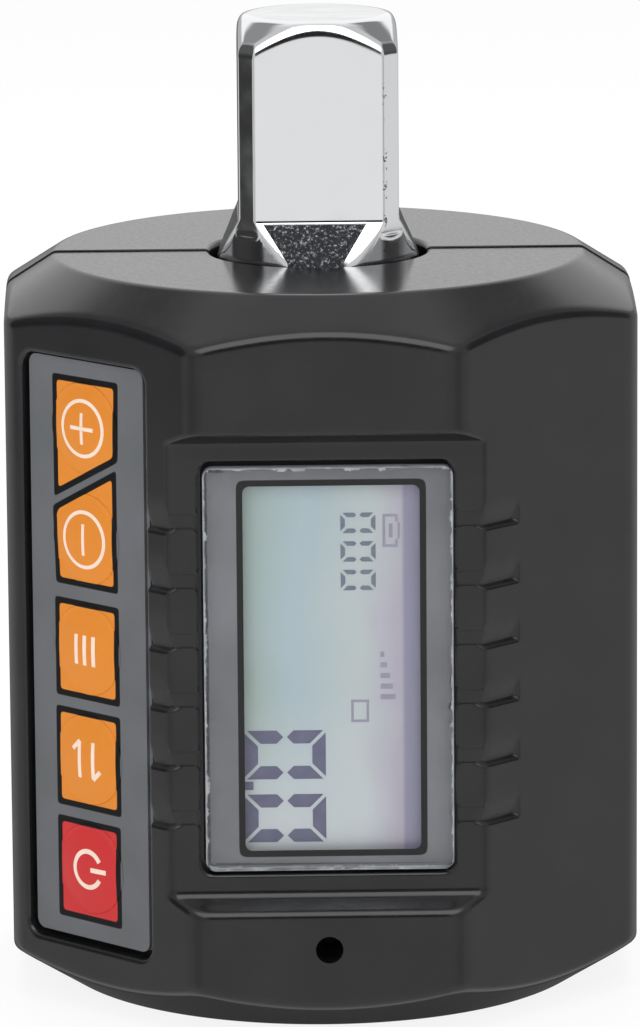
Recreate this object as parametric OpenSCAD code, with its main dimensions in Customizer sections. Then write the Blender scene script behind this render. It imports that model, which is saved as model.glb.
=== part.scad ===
// Digital torque adapter: an octagonal display housing, split into a front and a rear shell,
// round a steel shaft with a male square drive on top and a square socket below.
// The origin is on the drive axis at the bottom end face. +Z runs up the drive and the
// display faces -Y. Lengths are in millimetres and angles in degrees.

/* [Housing] */
// Width of the octagonal housing across its flats
body_across = 50; // [49:0.5:56]
// Height of the housing between its end faces
body_h = 58.5; // [58:0.5:66]
// Radius of each flat round end face
end_face_r = 21.1; // [20:0.1:22.4]
// Slope of the conical bevels, measured from the end faces
bevel_slope = 32.4; // [26:0.1:38]
// Wall thickness of both shells
wall = 2; // [1.7:0.1:2.3]
// Thickness of the ribs that hold the shaft
rib_t = 1.9; // [1.4:0.1:2]

/* [Display recess] */
// Distance of the display's middle below the housing's middle
display_drop = 0.05; // [0:0.05:0.5]
// Depth of the recess below the front flat
recess_depth = 1.95; // [1.2:0.05:2.4]
// Height of the recess floor
recess_h = 35.8; // [35:0.1:37]
// Axial run of the sloping ledge at each end of the recess
ledge_run = 1; // [0.5:0.1:1.6]
// Number of grip grooves on each side of the display
groove_count = 6; // [3:1:7]
// Distance between neighbouring grip grooves
groove_pitch = 4.71; // [4:0.05:5]
// Width of a grip groove at the surface
groove_w = 1.9; // [1.4:0.1:2.6]
// Height of a grip groove's steep lower side
groove_step = 0.35; // [0.3:0.05:0.8]
// Depth of a grip groove at the foot of its lower side
groove_depth = 0.45; // [0.3:0.05:0.9]
// Length of a grip groove along the slanting flat
groove_l = 3.5; // [2:0.1:5]
// Depth of the shallow band between a groove and the display
band_depth = 0.15; // [0.1:0.05:0.3]
// Width of the shallow band
band_w = 1.2; // [0.8:0.1:1.6]
// Radius of the sound hole
sound_hole_r = 1.075; // [0.8:0.05:1.5]
// Height of the sound hole
sound_hole_z = 7.14; // [6.9:0.05:7.3]

/* [Lens and display] */
// Width of the lens
lens_w = 19.4; // [18.6:0.1:20.4]
// Height of the lens
lens_h = 32.4; // [32:0.1:33]
// Thickness of the lens
lens_t = 1; // [0.8:0.05:1.1]
// Corner radius of the lens
lens_corner_r = 0.8; // [0.5:0.1:1.5]
// Gap round the lens in its pocket
lens_gap = 0.25; // [0.15:0.05:0.4]
// Depth of the lens face below the recess floor
lens_sink = 0.15; // [0.05:0.05:0.25]
// Thickness of the printed mask behind the lens
mask_t = 0.1; // [0.05:0.05:0.15]
// Thickness of the adhesive tape under the mask
tape_t = 0.15; // [0.1:0.05:0.2]
// Width of the clear window in the mask
window_w = 13.8; // [12:0.1:14]
// Height of the clear window in the mask
window_h = 29.2; // [27:0.1:29.6]
// Shift of the window to the right of the lens's middle
window_shift = 0.25; // [0:0.05:0.3]
// Margin of the housing's display opening round the window
opening_margin = 0.7; // [0.5:0.1:0.9]
// Width of the display panel
panel_w = 17.2; // [16.6:0.1:18]
// Height of the display panel
panel_h = 32.6; // [32:0.1:33]
// Thickness of the display panel
panel_t = 2; // [1.6:0.1:2.2]
// Width of the rim of the display frame
frame_rim = 1.2; // [0.9:0.1:1.5]
// Width of an elastomer contact strip
strip_w = 1.2; // [0.8:0.1:1.6]

/* [Main board] */
// Gap between the board's long edge and the back of the keypad pocket
board_side_gap = 0.97; // [0.6:0.01:1.4]
// Distance between the recess wall's inner face and the front of the board
board_room = 3.55; // [3.3:0.05:3.8]
// Thickness of the board
board_t = 1.2; // [1:0.1:1.6]
// Gap between each end of the board and the end walls of the cavity
board_end_gap = 1.35; // [1.2:0.05:1.6]
// Radius of the board's screw bosses
board_boss_r = 2.1; // [1.8:0.1:2.2]
// Distance of the board's screws from its long edges
board_screw_edge = 2.9; // [2.6:0.1:3.2]
// Distance of the lower board screws from the bottom
board_screw_lo = 6.2; // [6:0.1:6.6]
// Distance of the upper board screws from the top
board_screw_hi = 8.7; // [8.4:0.1:9]
// Shank radius of a board screw
board_screw_r = 0.9; // [0.8:0.05:1]
// Head radius of a board screw
board_head_r = 1.7; // [1.5:0.05:1.9]
// Head height of a board screw
board_head_h = 1.2; // [0.8:0.1:1.4]
// Width of the square buzzer
buzzer_w = 7.5; // [6:0.1:7.6]
// Thickness of the buzzer
buzzer_t = 3; // [2.6:0.1:3.2]
// Width of the processor chip
processor_w = 10; // [8:0.5:11]
// Width of the amplifier chip
amplifier_w = 5; // [4:0.5:6]
// Thickness of the chips
chip_t = 1.4; // [1:0.1:1.6]
// Radius of a board capacitor
capacitor_r = 1.5; // [1.2:0.1:1.7]
// Height of a board capacitor
capacitor_h = 3; // [2:0.1:3.5]

/* [Keypad] */
// Width of the keypad overlay along its slanting flat
pad_w = 12.6; // [12:0.1:13.4]
// Height of the keypad overlay
pad_h = 46.5; // [45:0.1:47]
// Corner radius of the overlay
pad_corner_r = 0.8; // [0.5:0.1:1.5]
// Shift of the overlay from the flat's middle, towards the rear
pad_shift = 1.64; // [1.4:0.02:1.9]
// Distance of the overlay's middle below the housing's middle
pad_drop = 0.1; // [0:0.05:0.3]
// Gap round the overlay in its pocket
pad_gap = 0.6; // [0.3:0.05:0.7]
// Gap above the overlay in its pocket
pad_top_gap = 0.12; // [0.1:0.02:0.3]
// Depth of the overlay's face below the flat
pad_sink = 0.45; // [0.43:0.01:0.6]
// Thickness of the overlay
overlay_t = 0.3; // [0.25:0.05:0.4]
// Thickness of the keypad board
pad_board_t = 0.5; // [0.4:0.05:0.6]
// Thickness of the housing behind the keypad pocket
pad_back_t = 1.5; // [1.2:0.1:1.7]
// Diameter of a key
key_d = 7.2; // [6.6:0.1:7.6]
// Distance between neighbouring keys
key_pitch = 8.86; // [8.4:0.02:9]
// Shift of the keys from the flat's middle, towards the rear
key_shift = 1.8; // [1.5:0.05:2]
// Height of the middle key above the overlay's middle
key_raise = 0.22; // [0:0.02:0.4]
// Height of a key's crown above the overlay
key_rise = 0.4; // [0.2:0.02:0.42]
// Travel of a key
key_travel = 0.3; // [0.28:0.01:0.4]
// Thickness of a key's skin
key_skin = 0.25; // [0.2:0.01:0.3]
// Radius of the nub under a key
key_nub_r = 1; // [0.6:0.1:1.4]
// Diameter of a snap dome
dome_d = 5.6; // [5:0.1:6]
// Height of a snap dome
dome_h = 0.32; // [0.25:0.01:0.33]
// Thickness of a snap dome
dome_t = 0.08; // [0.06:0.01:0.1]
// Width of the keypad's flexible tail
tail_w = 5; // [4:0.5:7]
// Thickness of the tail
tail_t = 0.2; // [0.15:0.05:0.3]
// Inner radius of the tail's bend
tail_bend_r = 1.4; // [1:0.1:1.6]

/* [Drive shaft] */
// Width of the male square across its flats
drive_w = 12.7; // [12.5:0.05:12.75]
// Height of the male square's top above the housing
drive_h = 18.9; // [16:0.1:22]
// Distance of the square's corner chamfers from the axis
drive_corner = 8.12; // [7.9:0.02:8.14]
// Radius of the male square's flat top
drive_top_r = 5.9; // [4.8:0.1:6]
// Slope of the top bevel, from the top face
drive_top_slope = 42; // [35:0.1:50]
// Height above the housing at which the flats end
flat_end_h = 3.1; // [2:0.1:4]
// Angle of the flats' run-out from the axis
runout_angle = 25.7; // [20:0.1:35]
// Height above the housing at which the corner chamfers end
chamfer_end_h = 1.3; // [0.8:0.1:3]
// Radius of the shaft's round collar
collar_r = 8.2; // [8.16:0.01:8.3]
// Gap between the collar and the housing's top hole
collar_gap = 0.44; // [0.3:0.02:0.6]
// Radius of the torsion section
torsion_r = 6.5; // [6:0.1:7]
// Depth of the gauge flats on the torsion section
gauge_flat_depth = 0.6; // [0.4:0.05:0.8]
// Height of the gauge flats
gauge_flat_h = 12; // [11:0.5:13]
// Radius of the shaft's head
head_r = 11.2; // [10.8:0.1:11.3]
// Distance of the shaft's end face inside the housing's bottom
head_sink = 0.3; // [0.1:0.05:0.6]
// Gap between the head and the housing's bottom hole
head_gap = 0.4; // [0.2:0.05:0.5]
// Bevel on the head's end
head_bevel = 0.6; // [0.3:0.1:1]
// Radius of the keyed neck
neck_r = 9.3; // [9:0.1:9.6]
// Distance of the neck's two flats from the axis
neck_flat = 8.5; // [8:0.1:8.8]
// Width of the female square socket across its flats
socket_w = 12.9; // [12.8:0.05:13]
// Depth of the female square socket
socket_depth = 16.5; // [15:0.1:16.8]
// Lead-in bevel at the mouth of the socket
socket_bevel = 0.5; // [0.3:0.1:0.8]
// Solid metal between the socket and the neck
socket_floor_t = 1.4; // [1:0.1:2]
// Radius of the cross hole in the socket for a drive's ball
cross_hole_r = 2.3; // [2:0.1:2.6]
// Depth of the cross hole in the socket
cross_hole_depth = 8; // [7:0.1:9]
// Length of the head above the neck
shoulder_l = 2.1; // [1.5:0.1:3]
// Radius of the detent ball
ball_r = 1.98; // [1.8:0.02:2.1]
// Height of the detent ball above the housing
ball_h = 10.3; // [9.5:0.1:11.5]
// Height by which the ball stands out of its flat
ball_out = 0.76; // [0.6:0.02:0.8]
// Running clearance of the ball in its bore
ball_gap = 0.04; // [0.03:0.01:0.06]
// Depth of the lip that keeps the ball in its bore
ball_lip = 0.3; // [0.25:0.01:0.35]
// Radius of the hole in the lip
ball_lip_r = 1.78; // [1.76:0.01:1.8]
// Depth of the spring's room behind the ball
spring_room = 5.5; // [4.5:0.1:6]
// Outer radius of the detent spring
spring_r = 1.6; // [1.3:0.05:1.7]
// Wire radius of the springs
wire_r = 0.2; // [0.15:0.01:0.24]
// Size of a square strain gauge
gauge_w = 3.6; // [3:0.1:3.7]
// Thickness of a strain gauge
gauge_t = 0.12; // [0.1:0.01:0.15]
// Radius of a gauge wire
gauge_wire_r = 0.25; // [0.2:0.01:0.3]
// Radius of a front gauge wire's bend
gauge_bend_r = 2; // [1.5:0.1:3]

/* [Batteries] */
// Distance of the battery bay from the top end face
bay_top_room = 4.9; // [4.6:0.1:5.4]
// Radius of a battery cell
cell_r = 5.15; // [5.05:0.05:5.25]
// Length of a battery cell with its nub
cell_l = 44.5; // [43.5:0.1:44.8]
// Radius of a cell's nub
nub_r = 2.5; // [1.9:0.1:2.75]
// Height of a cell's nub
nub_h = 1; // [0.8:0.1:1.4]
// Distance of each cell from the middle plane
cell_x = 6.3; // [6.25:0.05:6.4]
// Gap between the cells and the battery door
cell_gap = 0.35; // [0.25:0.05:0.4]
// Gap between the cells and the walls of their bay
bay_gap = 0.1; // [0.05:0.01:0.15]
// Thickness of the bay's walls and floor
bay_wall = 0.8; // [0.7:0.05:0.9]
// Length of a fitted contact spring
contact_spring_l = 3.4; // [3.2:0.1:3.6]
// Turns of a contact spring
contact_turns = 3; // [2:1:3]
// Width of a contact plate
contact_w = 8; // [7:0.1:9]
// Thickness of a contact plate
contact_t = 0.4; // [0.3:0.05:0.5]
// Radius of a battery lead
lead_r = 0.45; // [0.35:0.05:0.5]
// Sideways bow of a battery lead
lead_bow = 2.5; // [1.5:0.1:2.8]

/* [Battery door] */
// Width of the battery door
door_w = 26; // [25.6:0.1:27]
// Height of the battery door
door_h = 49.7; // [49.5:0.1:50.3]
// Gap round the battery door
door_gap = 0.15; // [0.1:0.01:0.2]
// Gap between the door and the bay's walls under it
door_seat_gap = 0.1; // [0.05:0.01:0.15]
// Shank radius of the door screw
door_screw_r = 1; // [0.9:0.02:1.02]
// Head radius of the door screw
door_head_r = 1.9; // [1.7:0.05:2]
// Head height of the door screw
door_head_h = 1.1; // [0.8:0.1:1.2]
// Radius of the tube and the boss for the door screw
door_boss_r = 1.9; // [1.8:0.05:2]

/* [Case screws] */
// Distance of the case screws from the middle plane
case_screw_x = 18.5; // [18.2:0.1:18.8]
// Height of the lower case screws
case_screw_lo = 8.2; // [8:0.1:9]
// Distance of the upper case screws from the top
case_screw_hi = 8.2; // [8:0.1:9]
// Shank radius of a case screw
case_screw_r = 1.25; // [1.1:0.05:1.4]
// Head radius of a case screw
case_head_r = 2.4; // [2.2:0.05:2.5]
// Head height of a case screw
case_head_h = 1.6; // [1.2:0.1:1.8]
// Distance of the screw heads behind the parting plane
case_seat_y = 8; // [6:0.5:8.5]
// Length of thread in the front shell
case_thread_l = 7; // [5:0.5:8]
// Radius of the front shell's screw bosses
case_boss_r = 3; // [2.6:0.1:3.2]

/* [Fits] */
// Clearance of screws in their holes
screw_gap = 0.05; // [0.03:0.01:0.08]
// Clearance of the shaft in the ribs
rib_gap = 0.1; // [0.05:0.01:0.15]
// Clearance of a key in the overlay
key_gap = 0.05; // [0.04:0.01:0.08]
// Clearance of inner pieces beside their neighbours
part_gap = 0.2; // [0.1:0.05:0.3]

/* [Hidden] */
$fn = 48;
overrun = 0.5;
octagon_turn = 22.5;
body_half = body_across / 2;
inner_half = body_half - wall;
corner_r = body_half / cos(octagon_turn) + overrun;
flat_half_w = body_half * tan(octagon_turn);
span = body_across;
display_z = body_h / 2 - display_drop;

// Distances of the display's layers from the drive axis, towards the front
recess_face = body_half - recess_depth;
recess_back = recess_face - wall;
lens_face = recess_face - lens_sink;
lens_back = lens_face - lens_t;
mask_back = lens_back - mask_t;
lens_seat = mask_back - tape_t;
panel_face = recess_back - part_gap;
panel_back = panel_face - panel_t;
board_face = recess_back - board_room;
board_back = board_face - board_t;
recess_half_w = flat_half_w + recess_depth;
pocket_w = lens_w + 2 * lens_gap;
pocket_h = lens_h + 2 * lens_gap;
opening_w = window_w + 2 * opening_margin;
opening_h = window_h + 2 * opening_margin;
frame_w = panel_w + 2 * frame_rim;
frame_h = panel_h + 2 * frame_rim;

// Distances of the keypad's layers from the drive axis, square to the slanting flat. The
// spacer leaves each key its travel.
spacer_t = key_travel + key_gap;
pad_face = body_half - pad_sink;
overlay_back = pad_face - overlay_t;
spacer_back = overlay_back - spacer_t;
pad_seat = spacer_back - pad_board_t;
pad_back = pad_seat - pad_back_t;
pad_z = body_h / 2 - pad_drop;
key_z = pad_z + key_raise;
pad_pocket_w = pad_w + 2 * pad_gap;
pad_pocket_h = pad_h + pad_gap + pad_top_gap;
pad_pocket_z = pad_z - (pad_gap - pad_top_gap) / 2;
key_r = key_d / 2;
key_count = 5;
crown_r = (pow(key_r, 2) + pow(key_rise, 2)) / (2 * key_rise);
dome_r = dome_d / 2;
dome_rise = dome_h - dome_t;
dome_ball_r = (pow(dome_r, 2) + pow(dome_rise, 2)) / (2 * dome_rise);
arc_steps = 8;

// The board between the backs of the two slanting walls, and the tail's connector on it
board_w = 2 * (pad_back * sqrt(2) - board_face - board_side_gap);
board_h = body_h - 2 * (wall + board_end_gap);
board_screw_x = board_w / 2 - board_screw_edge;
board_screw_places = [
  [-board_screw_x, board_screw_lo], [board_screw_x, board_screw_lo],
  [-board_screw_x, body_h - board_screw_hi], [board_screw_x, body_h - board_screw_hi]
];
board_thread_l = wall + board_t;
connector_w = 2 * capacitor_r;
connector_h = tail_w + 2 * chip_t;
connector_x = board_w / 2 - part_gap - connector_w;
tail_plane = board_back - chip_t / 2;
tail_bend_start = pad_back - part_gap;
tail_mid_r = tail_bend_r + tail_t / 2;
tail_shift = (tail_plane + tail_mid_r * (1 - cos(45))) * sqrt(2) - tail_bend_start;
tail_end_x = tail_bend_start * sin(45) - tail_shift * sin(45) - tail_mid_r * sin(45);
tail_z = key_z - key_pitch / 2;

// Heights along the shaft
drive_half = drive_w / 2;
drive_top = body_h + drive_h;
socket_end = head_sink + socket_depth;
neck_lo = socket_end + socket_floor_t;
neck_hi = neck_lo + rib_t + 2 * rib_gap;
shoulder_z = neck_hi + shoulder_l;
torsion_lo = shoulder_z + head_r - torsion_r;
collar_rib_z = body_h - case_screw_hi - rib_t / 2;
torsion_hi = torsion_lo + gauge_flat_h + 2 * shoulder_l;
gauge_face = torsion_r - gauge_flat_depth;
gauge_z = (torsion_lo + torsion_hi) / 2;
gauge_places = [gauge_z - gauge_flat_h / 4, gauge_z + gauge_flat_h / 4];
processor_z = gauge_places[0] + gauge_bend_r - gauge_wire_r - part_gap - processor_w / 2;
ball_z = body_h + ball_h;
ball_y = drive_half + ball_out - ball_r;
spring_back_y = ball_y - ball_r - spring_room;
spring_l = spring_room - ball_gap;
spring_turns = 5;

// The battery bay, measured towards the rear
cell_y = inner_half - cell_gap - cell_r;
bay_half_w = cell_x + cell_r + bay_gap;
bay_floor_y = cell_y - cell_r - bay_gap;
bay_h = cell_l + contact_spring_l + 2 * contact_t;
bay_hi = body_h - bay_top_room;
bay_lo = bay_hi - bay_h;
door_z = (bay_lo + bay_hi) / 2;
door_lo = door_z - door_h / 2;
valley_room = cell_r + part_gap;
valley_depth = sqrt(pow(valley_room, 2) - pow(cell_x - door_boss_r, 2));
door_tube_y = cell_y + valley_depth;
floor_boss_y = cell_y - valley_depth;
door_seat_y = body_half - door_head_h - part_gap;
lead_z = bay_hi - lead_r - bay_gap;
lead_x = cell_x + contact_w / 2 - lead_r;
lead_chord = cell_y - contact_w / 2 + board_back;
lead_bend_r = (pow(lead_chord / 2, 2) + pow(lead_bow, 2)) / (2 * lead_bow);
lead_centre_x = lead_x + lead_bow - lead_bend_r;
lead_centre_y = lead_chord / 2 - board_back;
lead_hole_y = bay_floor_y - bay_wall / 2;
lead_hole_x = lead_centre_x + sqrt(pow(lead_bend_r, 2) - pow(lead_hole_y - lead_centre_y, 2));
case_screw_places = [
  [-case_screw_x, case_screw_lo], [case_screw_x, case_screw_lo],
  [-case_screw_x, body_h - case_screw_hi], [case_screw_x, body_h - case_screw_hi]
];
slot_share = 0.3;
slot_depth_share = 0.5;

// Places children on a plane at the given distance from the drive axis. The plane faces the
// front, turned about the axis: x runs along it, y up the drive and z outwards.
module on_flat(turn, distance) {
  rotate([0, 0, turn]) rotate([90, 0, 0]) translate([0, 0, distance]) children();
}

// Places children on the keypad's slanting flat, measured from the middle of the flat
module on_pad(distance) {
  on_flat(-45, distance) children();
}

// A plate with rounded corners, centred in x and y, standing on z = 0
module plate(w, h, t, r) {
  translate([r - w / 2, -h / 2, 0]) cube([w - 2 * r, h, t]);
  translate([-w / 2, r - h / 2, 0]) cube([w, h - 2 * r, t]);
  for (x = [r - w / 2, w / 2 - r], y = [r - h / 2, h / 2 - r])
    translate([x, y, 0]) cylinder(h = t, r = r);
}

// A box centred in x and y, standing on z = 0
module block(w, h, t) {
  translate([-w / 2, -h / 2, 0]) cube([w, h, t]);
}

// A prism along x through a profile drawn in y and z
module prism_x(length) {
  rotate([90, 0, 90]) linear_extrude(length, center = true) children();
}

// A prism along y through a profile drawn in x and z
module prism_y(length) {
  rotate([90, 0, 0]) linear_extrude(length, center = true) children();
}

// The octagonal housing with conical ends, set in on all sides
module housing_form(inset) {
  h = body_h - 2 * inset;
  face_r = end_face_r - inset * tan(bevel_slope / 2);
  rise = (corner_r - face_r) * tan(bevel_slope);
  translate([0, 0, inset]) intersection() {
    rotate([0, 0, octagon_turn])
      cylinder(h = h, r = (body_half - inset) / cos(octagon_turn), $fn = 8);
    rotate_extrude() polygon([
      [0, 0], [face_r, 0], [corner_r, rise],
      [corner_r, h - rise], [face_r, h], [0, h]
    ]);
  }
}

// The space in front of the display, with a sloping ledge at each end
module recess_form(face, grow) {
  outer = body_half + overrun;
  run = ledge_run * (outer - face) / recess_depth;
  lo = display_z - recess_h / 2 - grow;
  hi = display_z + recess_h / 2 + grow;
  prism_x(2 * span) polygon([[-face, lo], [-face, hi], [-outer, hi + run], [-outer, lo - run]]);
}

// One grip groove on the right-hand side, with its shallow band
module groove_form() {
  corner_x = -flat_half_w + recess_depth * sqrt(2);
  // Both sides run on by the same slopes above the surface
  step_run = overrun * groove_step / groove_depth;
  ramp_run = overrun * (groove_w - groove_step) / groove_depth;
  on_flat(45, body_half) translate([corner_x - overrun, 0, 0])
    rotate([90, 0, 90]) linear_extrude(groove_l + overrun) polygon([
      [groove_step - groove_w / 2, -groove_depth],
      [groove_w / 2 + ramp_run, overrun], [-groove_w / 2 - step_run, overrun]
    ]);
  on_flat(0, recess_face - band_depth) translate([pocket_w / 2 - overrun, -band_w / 2, 0])
    cube([recess_half_w - pocket_w / 2 + overrun, band_w, recess_depth]);
}

// All grip grooves
module grooves() {
  first = display_z - (groove_count - 1) / 2 * groove_pitch;
  for (side = [0, 1], i = [0:groove_count - 1])
    translate([0, 0, first + i * groove_pitch]) mirror([side, 0, 0]) groove_form();
}

// The half space in front of the parting plane, or behind it
module half_space(side) {
  translate([-span, side < 0 ? -2 * span : 0, -overrun])
    cube([2 * span, 2 * span, body_h + 2 * overrun]);
}

// Ribs and end holes shared by both shells, cut to the shaft's shape
module shaft_ribs() {
  reach = bay_floor_y;
  difference() {
    union() {
      translate([-span, -reach, neck_lo + rib_gap]) cube([2 * span, 2 * reach, rib_t]);
      translate([-span, -reach, collar_rib_z]) cube([2 * span, 2 * reach, rib_t]);
    }
    translate([-neck_flat - rib_gap, -neck_r - rib_gap, neck_lo])
      cube([2 * (neck_flat + rib_gap), 2 * (neck_r + rib_gap), neck_hi - neck_lo]);
    translate([0, 0, collar_rib_z - overrun])
      cylinder(h = rib_t + 2 * overrun, r = collar_r + rib_gap);
  }
}

// The shaft's holes through both end walls
module end_holes() {
  translate([0, 0, -overrun]) cylinder(h = wall + 2 * overrun, r = head_r + head_gap);
  translate([0, 0, body_h - wall - overrun])
    cylinder(h = wall + 2 * overrun, r = collar_r + collar_gap);
}

module front_shell() {
  color("#38383a") difference() {
    intersection() {
      housing_form(0);
      half_space(-1);
      union() {
        difference() {
          translate([-span, -span, 0]) cube([2 * span, span, body_h]);
          front_cavity();
        }
        shaft_ribs();
        case_posts();
      }
    }
    recess_form(recess_face, 0);
    lens_pocket();
    pad_pocket();
    grooves();
    end_holes();
    sound_hole();
    for (p = board_screw_places) on_flat(0, board_face - overrun)
      translate([p[0], p[1], 0])
        cylinder(h = board_thread_l + overrun + part_gap, r = board_screw_r + screw_gap);
    for (p = case_screw_places) translate([p[0], overrun, p[1]]) rotate([90, 0, 0])
      cylinder(h = case_thread_l + overrun + part_gap, r = case_screw_r + screw_gap);
  }
}

// The hollow of the front shell, around the bosses and the backs of its pockets
module front_cavity() {
  difference() {
    housing_form(wall);
    recess_form(recess_back, wall);
    on_pad(pad_back) translate([-pad_shift, pad_pocket_z, 0])
      block(pad_pocket_w + 2 * pad_back_t, pad_pocket_h + 2 * pad_back_t, wall + pad_back_t);
    for (p = board_screw_places) on_flat(0, board_face) translate([p[0], p[1], 0])
      cylinder(h = span, r = board_boss_r);
    on_flat(0, board_face + buzzer_t + part_gap) translate([0, sound_hole_z, 0])
      cylinder(h = span, r = sound_hole_r + bay_wall);
  }
}

// Posts of the front shell that take the case screws
module case_posts() {
  for (p = case_screw_places) translate([p[0], 0, p[1]]) rotate([90, 0, 0])
    cylinder(h = span, r = case_boss_r);
}

// Pocket for the lens, with the display opening in its floor
module lens_pocket() {
  on_flat(0, lens_seat) translate([0, display_z, 0])
    plate(pocket_w, pocket_h, recess_depth + wall, lens_corner_r + lens_gap);
  on_flat(0, recess_back - overrun) translate([window_shift, display_z, 0])
    block(opening_w, opening_h, wall + overrun);
}

// Pocket for the keypad, with the slot for its tail
module pad_pocket() {
  on_pad(pad_seat) translate([-pad_shift, pad_pocket_z, 0])
    plate(pad_pocket_w, pad_pocket_h, wall + overrun, pad_corner_r + pad_gap);
  on_pad(pad_back - overrun) translate([tail_shift, tail_z, 0])
    block(tail_t + 2 * part_gap, tail_w + 2 * part_gap, pad_back_t + 2 * overrun);
}

module sound_hole() {
  on_flat(0, board_face + buzzer_t) translate([0, sound_hole_z, 0])
    cylinder(h = span, r = sound_hole_r);
}

module rear_shell() {
  color("#333335") difference() {
    intersection() {
      housing_form(0);
      half_space(1);
      union() {
        difference() {
          translate([-span, 0, 0]) cube([2 * span, span, body_h]);
          housing_form(wall);
        }
        shaft_ribs();
        bay_box();
        for (p = case_screw_places) translate([p[0], span, p[1]]) rotate([90, 0, 0])
          cylinder(h = span, r = case_head_r + part_gap + bay_wall);
      }
    }
    end_holes();
    bay_hollow();
    door_opening();
    for (p = case_screw_places) translate([p[0], 0, p[1]]) rotate([-90, 0, 0]) {
      translate([0, 0, -overrun])
        cylinder(h = span, r = case_screw_r + part_gap);
      translate([0, 0, case_seat_y]) cylinder(h = span, r = case_head_r + part_gap);
    }
    translate([0, bay_floor_y - bay_wall - overrun, door_z]) rotate([-90, 0, 0])
      cylinder(h = span, r = door_screw_r + screw_gap);
    for (x = [-lead_hole_x, lead_hole_x]) translate([x, bay_floor_y + overrun, lead_z])
      rotate([90, 0, 0]) cylinder(h = bay_wall + 2 * overrun, r = lead_r + part_gap);
  }
}

// The walls and floor of the battery bay, still solid
module bay_box() {
  w = 2 * (bay_half_w + bay_wall);
  translate([-w / 2, bay_floor_y - bay_wall, bay_lo - bay_wall])
    cube([w, span, bay_h + 2 * bay_wall]);
}

// The hollow of the battery bay, with the boss for the door screw left standing
module bay_hollow() {
  difference() {
    translate([-bay_half_w, bay_floor_y, bay_lo]) cube([2 * bay_half_w, span, bay_h]);
    translate([0, bay_floor_y - overrun, door_z]) rotate([-90, 0, 0])
      cylinder(h = floor_boss_y - bay_floor_y + overrun, r = door_boss_r);
  }
}

// An upright octagonal bar across the given distance from the axis
module octagon_bar(half_across) {
  rotate([0, 0, octagon_turn])
    cylinder(h = body_h, r = half_across / cos(octagon_turn), $fn = 8);
}

// The opening for the battery door, down to the bay's walls under it
module door_opening() {
  w = door_w + 2 * door_gap;
  difference() {
    translate([-w / 2, 0, door_lo - door_gap]) cube([w, span, door_h + 2 * door_gap]);
    octagon_bar(inner_half - door_seat_gap);
  }
}

module battery_door() {
  color("#3a3a3c") difference() {
    union() {
      difference() {
        intersection() {
          housing_form(0);
          translate([-door_w / 2, 0, door_lo]) cube([door_w, span, door_h]);
        }
        octagon_bar(inner_half);
      }
      translate([0, door_tube_y, door_z]) rotate([-90, 0, 0])
        cylinder(h = body_half - door_tube_y - wall / 2, r = door_boss_r);
    }
    translate([0, door_tube_y - overrun, door_z]) rotate([-90, 0, 0])
      cylinder(h = span, r = door_screw_r + screw_gap);
    translate([0, door_seat_y, door_z]) rotate([-90, 0, 0])
      cylinder(h = span, r = door_head_r + part_gap);
  }
}

// A round-headed screw along -z, its head's underside on z = 0, with a cross slot
module screw(shank_r, shank_l, head_r, head_h) {
  slot_w = head_r * slot_share;
  slot_l = 2 * head_r * (1 - slot_share);
  slot_z = head_h * (1 - slot_depth_share);
  difference() {
    union() {
      cylinder(h = head_h, r = head_r);
      translate([0, 0, -shank_l]) cylinder(h = shank_l, r = shank_r);
    }
    translate([-slot_l / 2, -slot_w / 2, slot_z]) cube([slot_l, slot_w, head_h]);
    translate([-slot_w / 2, -slot_l / 2, slot_z]) cube([slot_w, slot_l, head_h]);
  }
}

module door_screw() {
  color("#b9bcc0") translate([0, door_seat_y, door_z]) rotate([-90, 0, 0])
    screw(door_screw_r, door_seat_y - bay_floor_y, door_head_r, door_head_h);
}

module case_screws() {
  color("#9ea1a5") for (p = case_screw_places)
    translate([p[0], case_seat_y, p[1]]) rotate([-90, 0, 0])
      screw(case_screw_r, case_seat_y + case_thread_l, case_head_r, case_head_h);
}

// The profile of a square bar along the axis, drawn across its flats. Below end_z its flats
// run out at the given angle from the axis, and further down it leaves the shaft whole.
module bar_profile(half, end_z, angle) {
  lo = body_h - wall;
  hi = drive_top + overrun;
  wide = half + (end_z - lo) * tan(angle);
  polygon([
    [-span, 0], [span, 0], [span, lo], [wide, lo], [half, end_z],
    [half, hi], [-half, hi], [-half, end_z], [-wide, lo], [-span, lo]
  ]);
}

// A bar that is square in plan, as two crossed prisms through the same profile
module crossed_bar(half, end_z, angle) {
  intersection() {
    prism_x(2 * span) bar_profile(half, end_z, angle);
    prism_y(2 * span) bar_profile(half, end_z, angle);
  }
}

module drive_shaft() {
  top_rise = (collar_r - drive_top_r) * tan(drive_top_slope);
  chamfer_step = collar_r - drive_corner + overrun;
  color("#d9dade") difference() {
    intersection() {
      rotate_extrude() polygon([
        [0, head_sink], [head_r - head_bevel, head_sink], [head_r, head_sink + head_bevel],
        [head_r, neck_lo], [neck_r, neck_lo], [neck_r, neck_hi], [head_r, neck_hi],
        [head_r, shoulder_z], [torsion_r, torsion_lo], [torsion_r, torsion_hi],
        [collar_r, torsion_hi + collar_r - torsion_r], [collar_r, drive_top - top_rise],
        [drive_top_r, drive_top], [0, drive_top]
      ]);
      crossed_bar(drive_half, body_h + flat_end_h, runout_angle);
      rotate([0, 0, 45])
        crossed_bar(drive_corner, body_h + chamfer_end_h + chamfer_step, 45);
    }
    socket_form();
    for (side = [-1, 1]) {
      translate([side * (neck_flat + span) - span, -span, neck_lo])
        cube([2 * span, 2 * span, neck_hi - neck_lo]);
      translate([-span, side * (gauge_face + span) - span, gauge_z - gauge_flat_h / 2])
        cube([2 * span, 2 * span, gauge_flat_h]);
    }
    ball_bore();
  }
}

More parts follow.
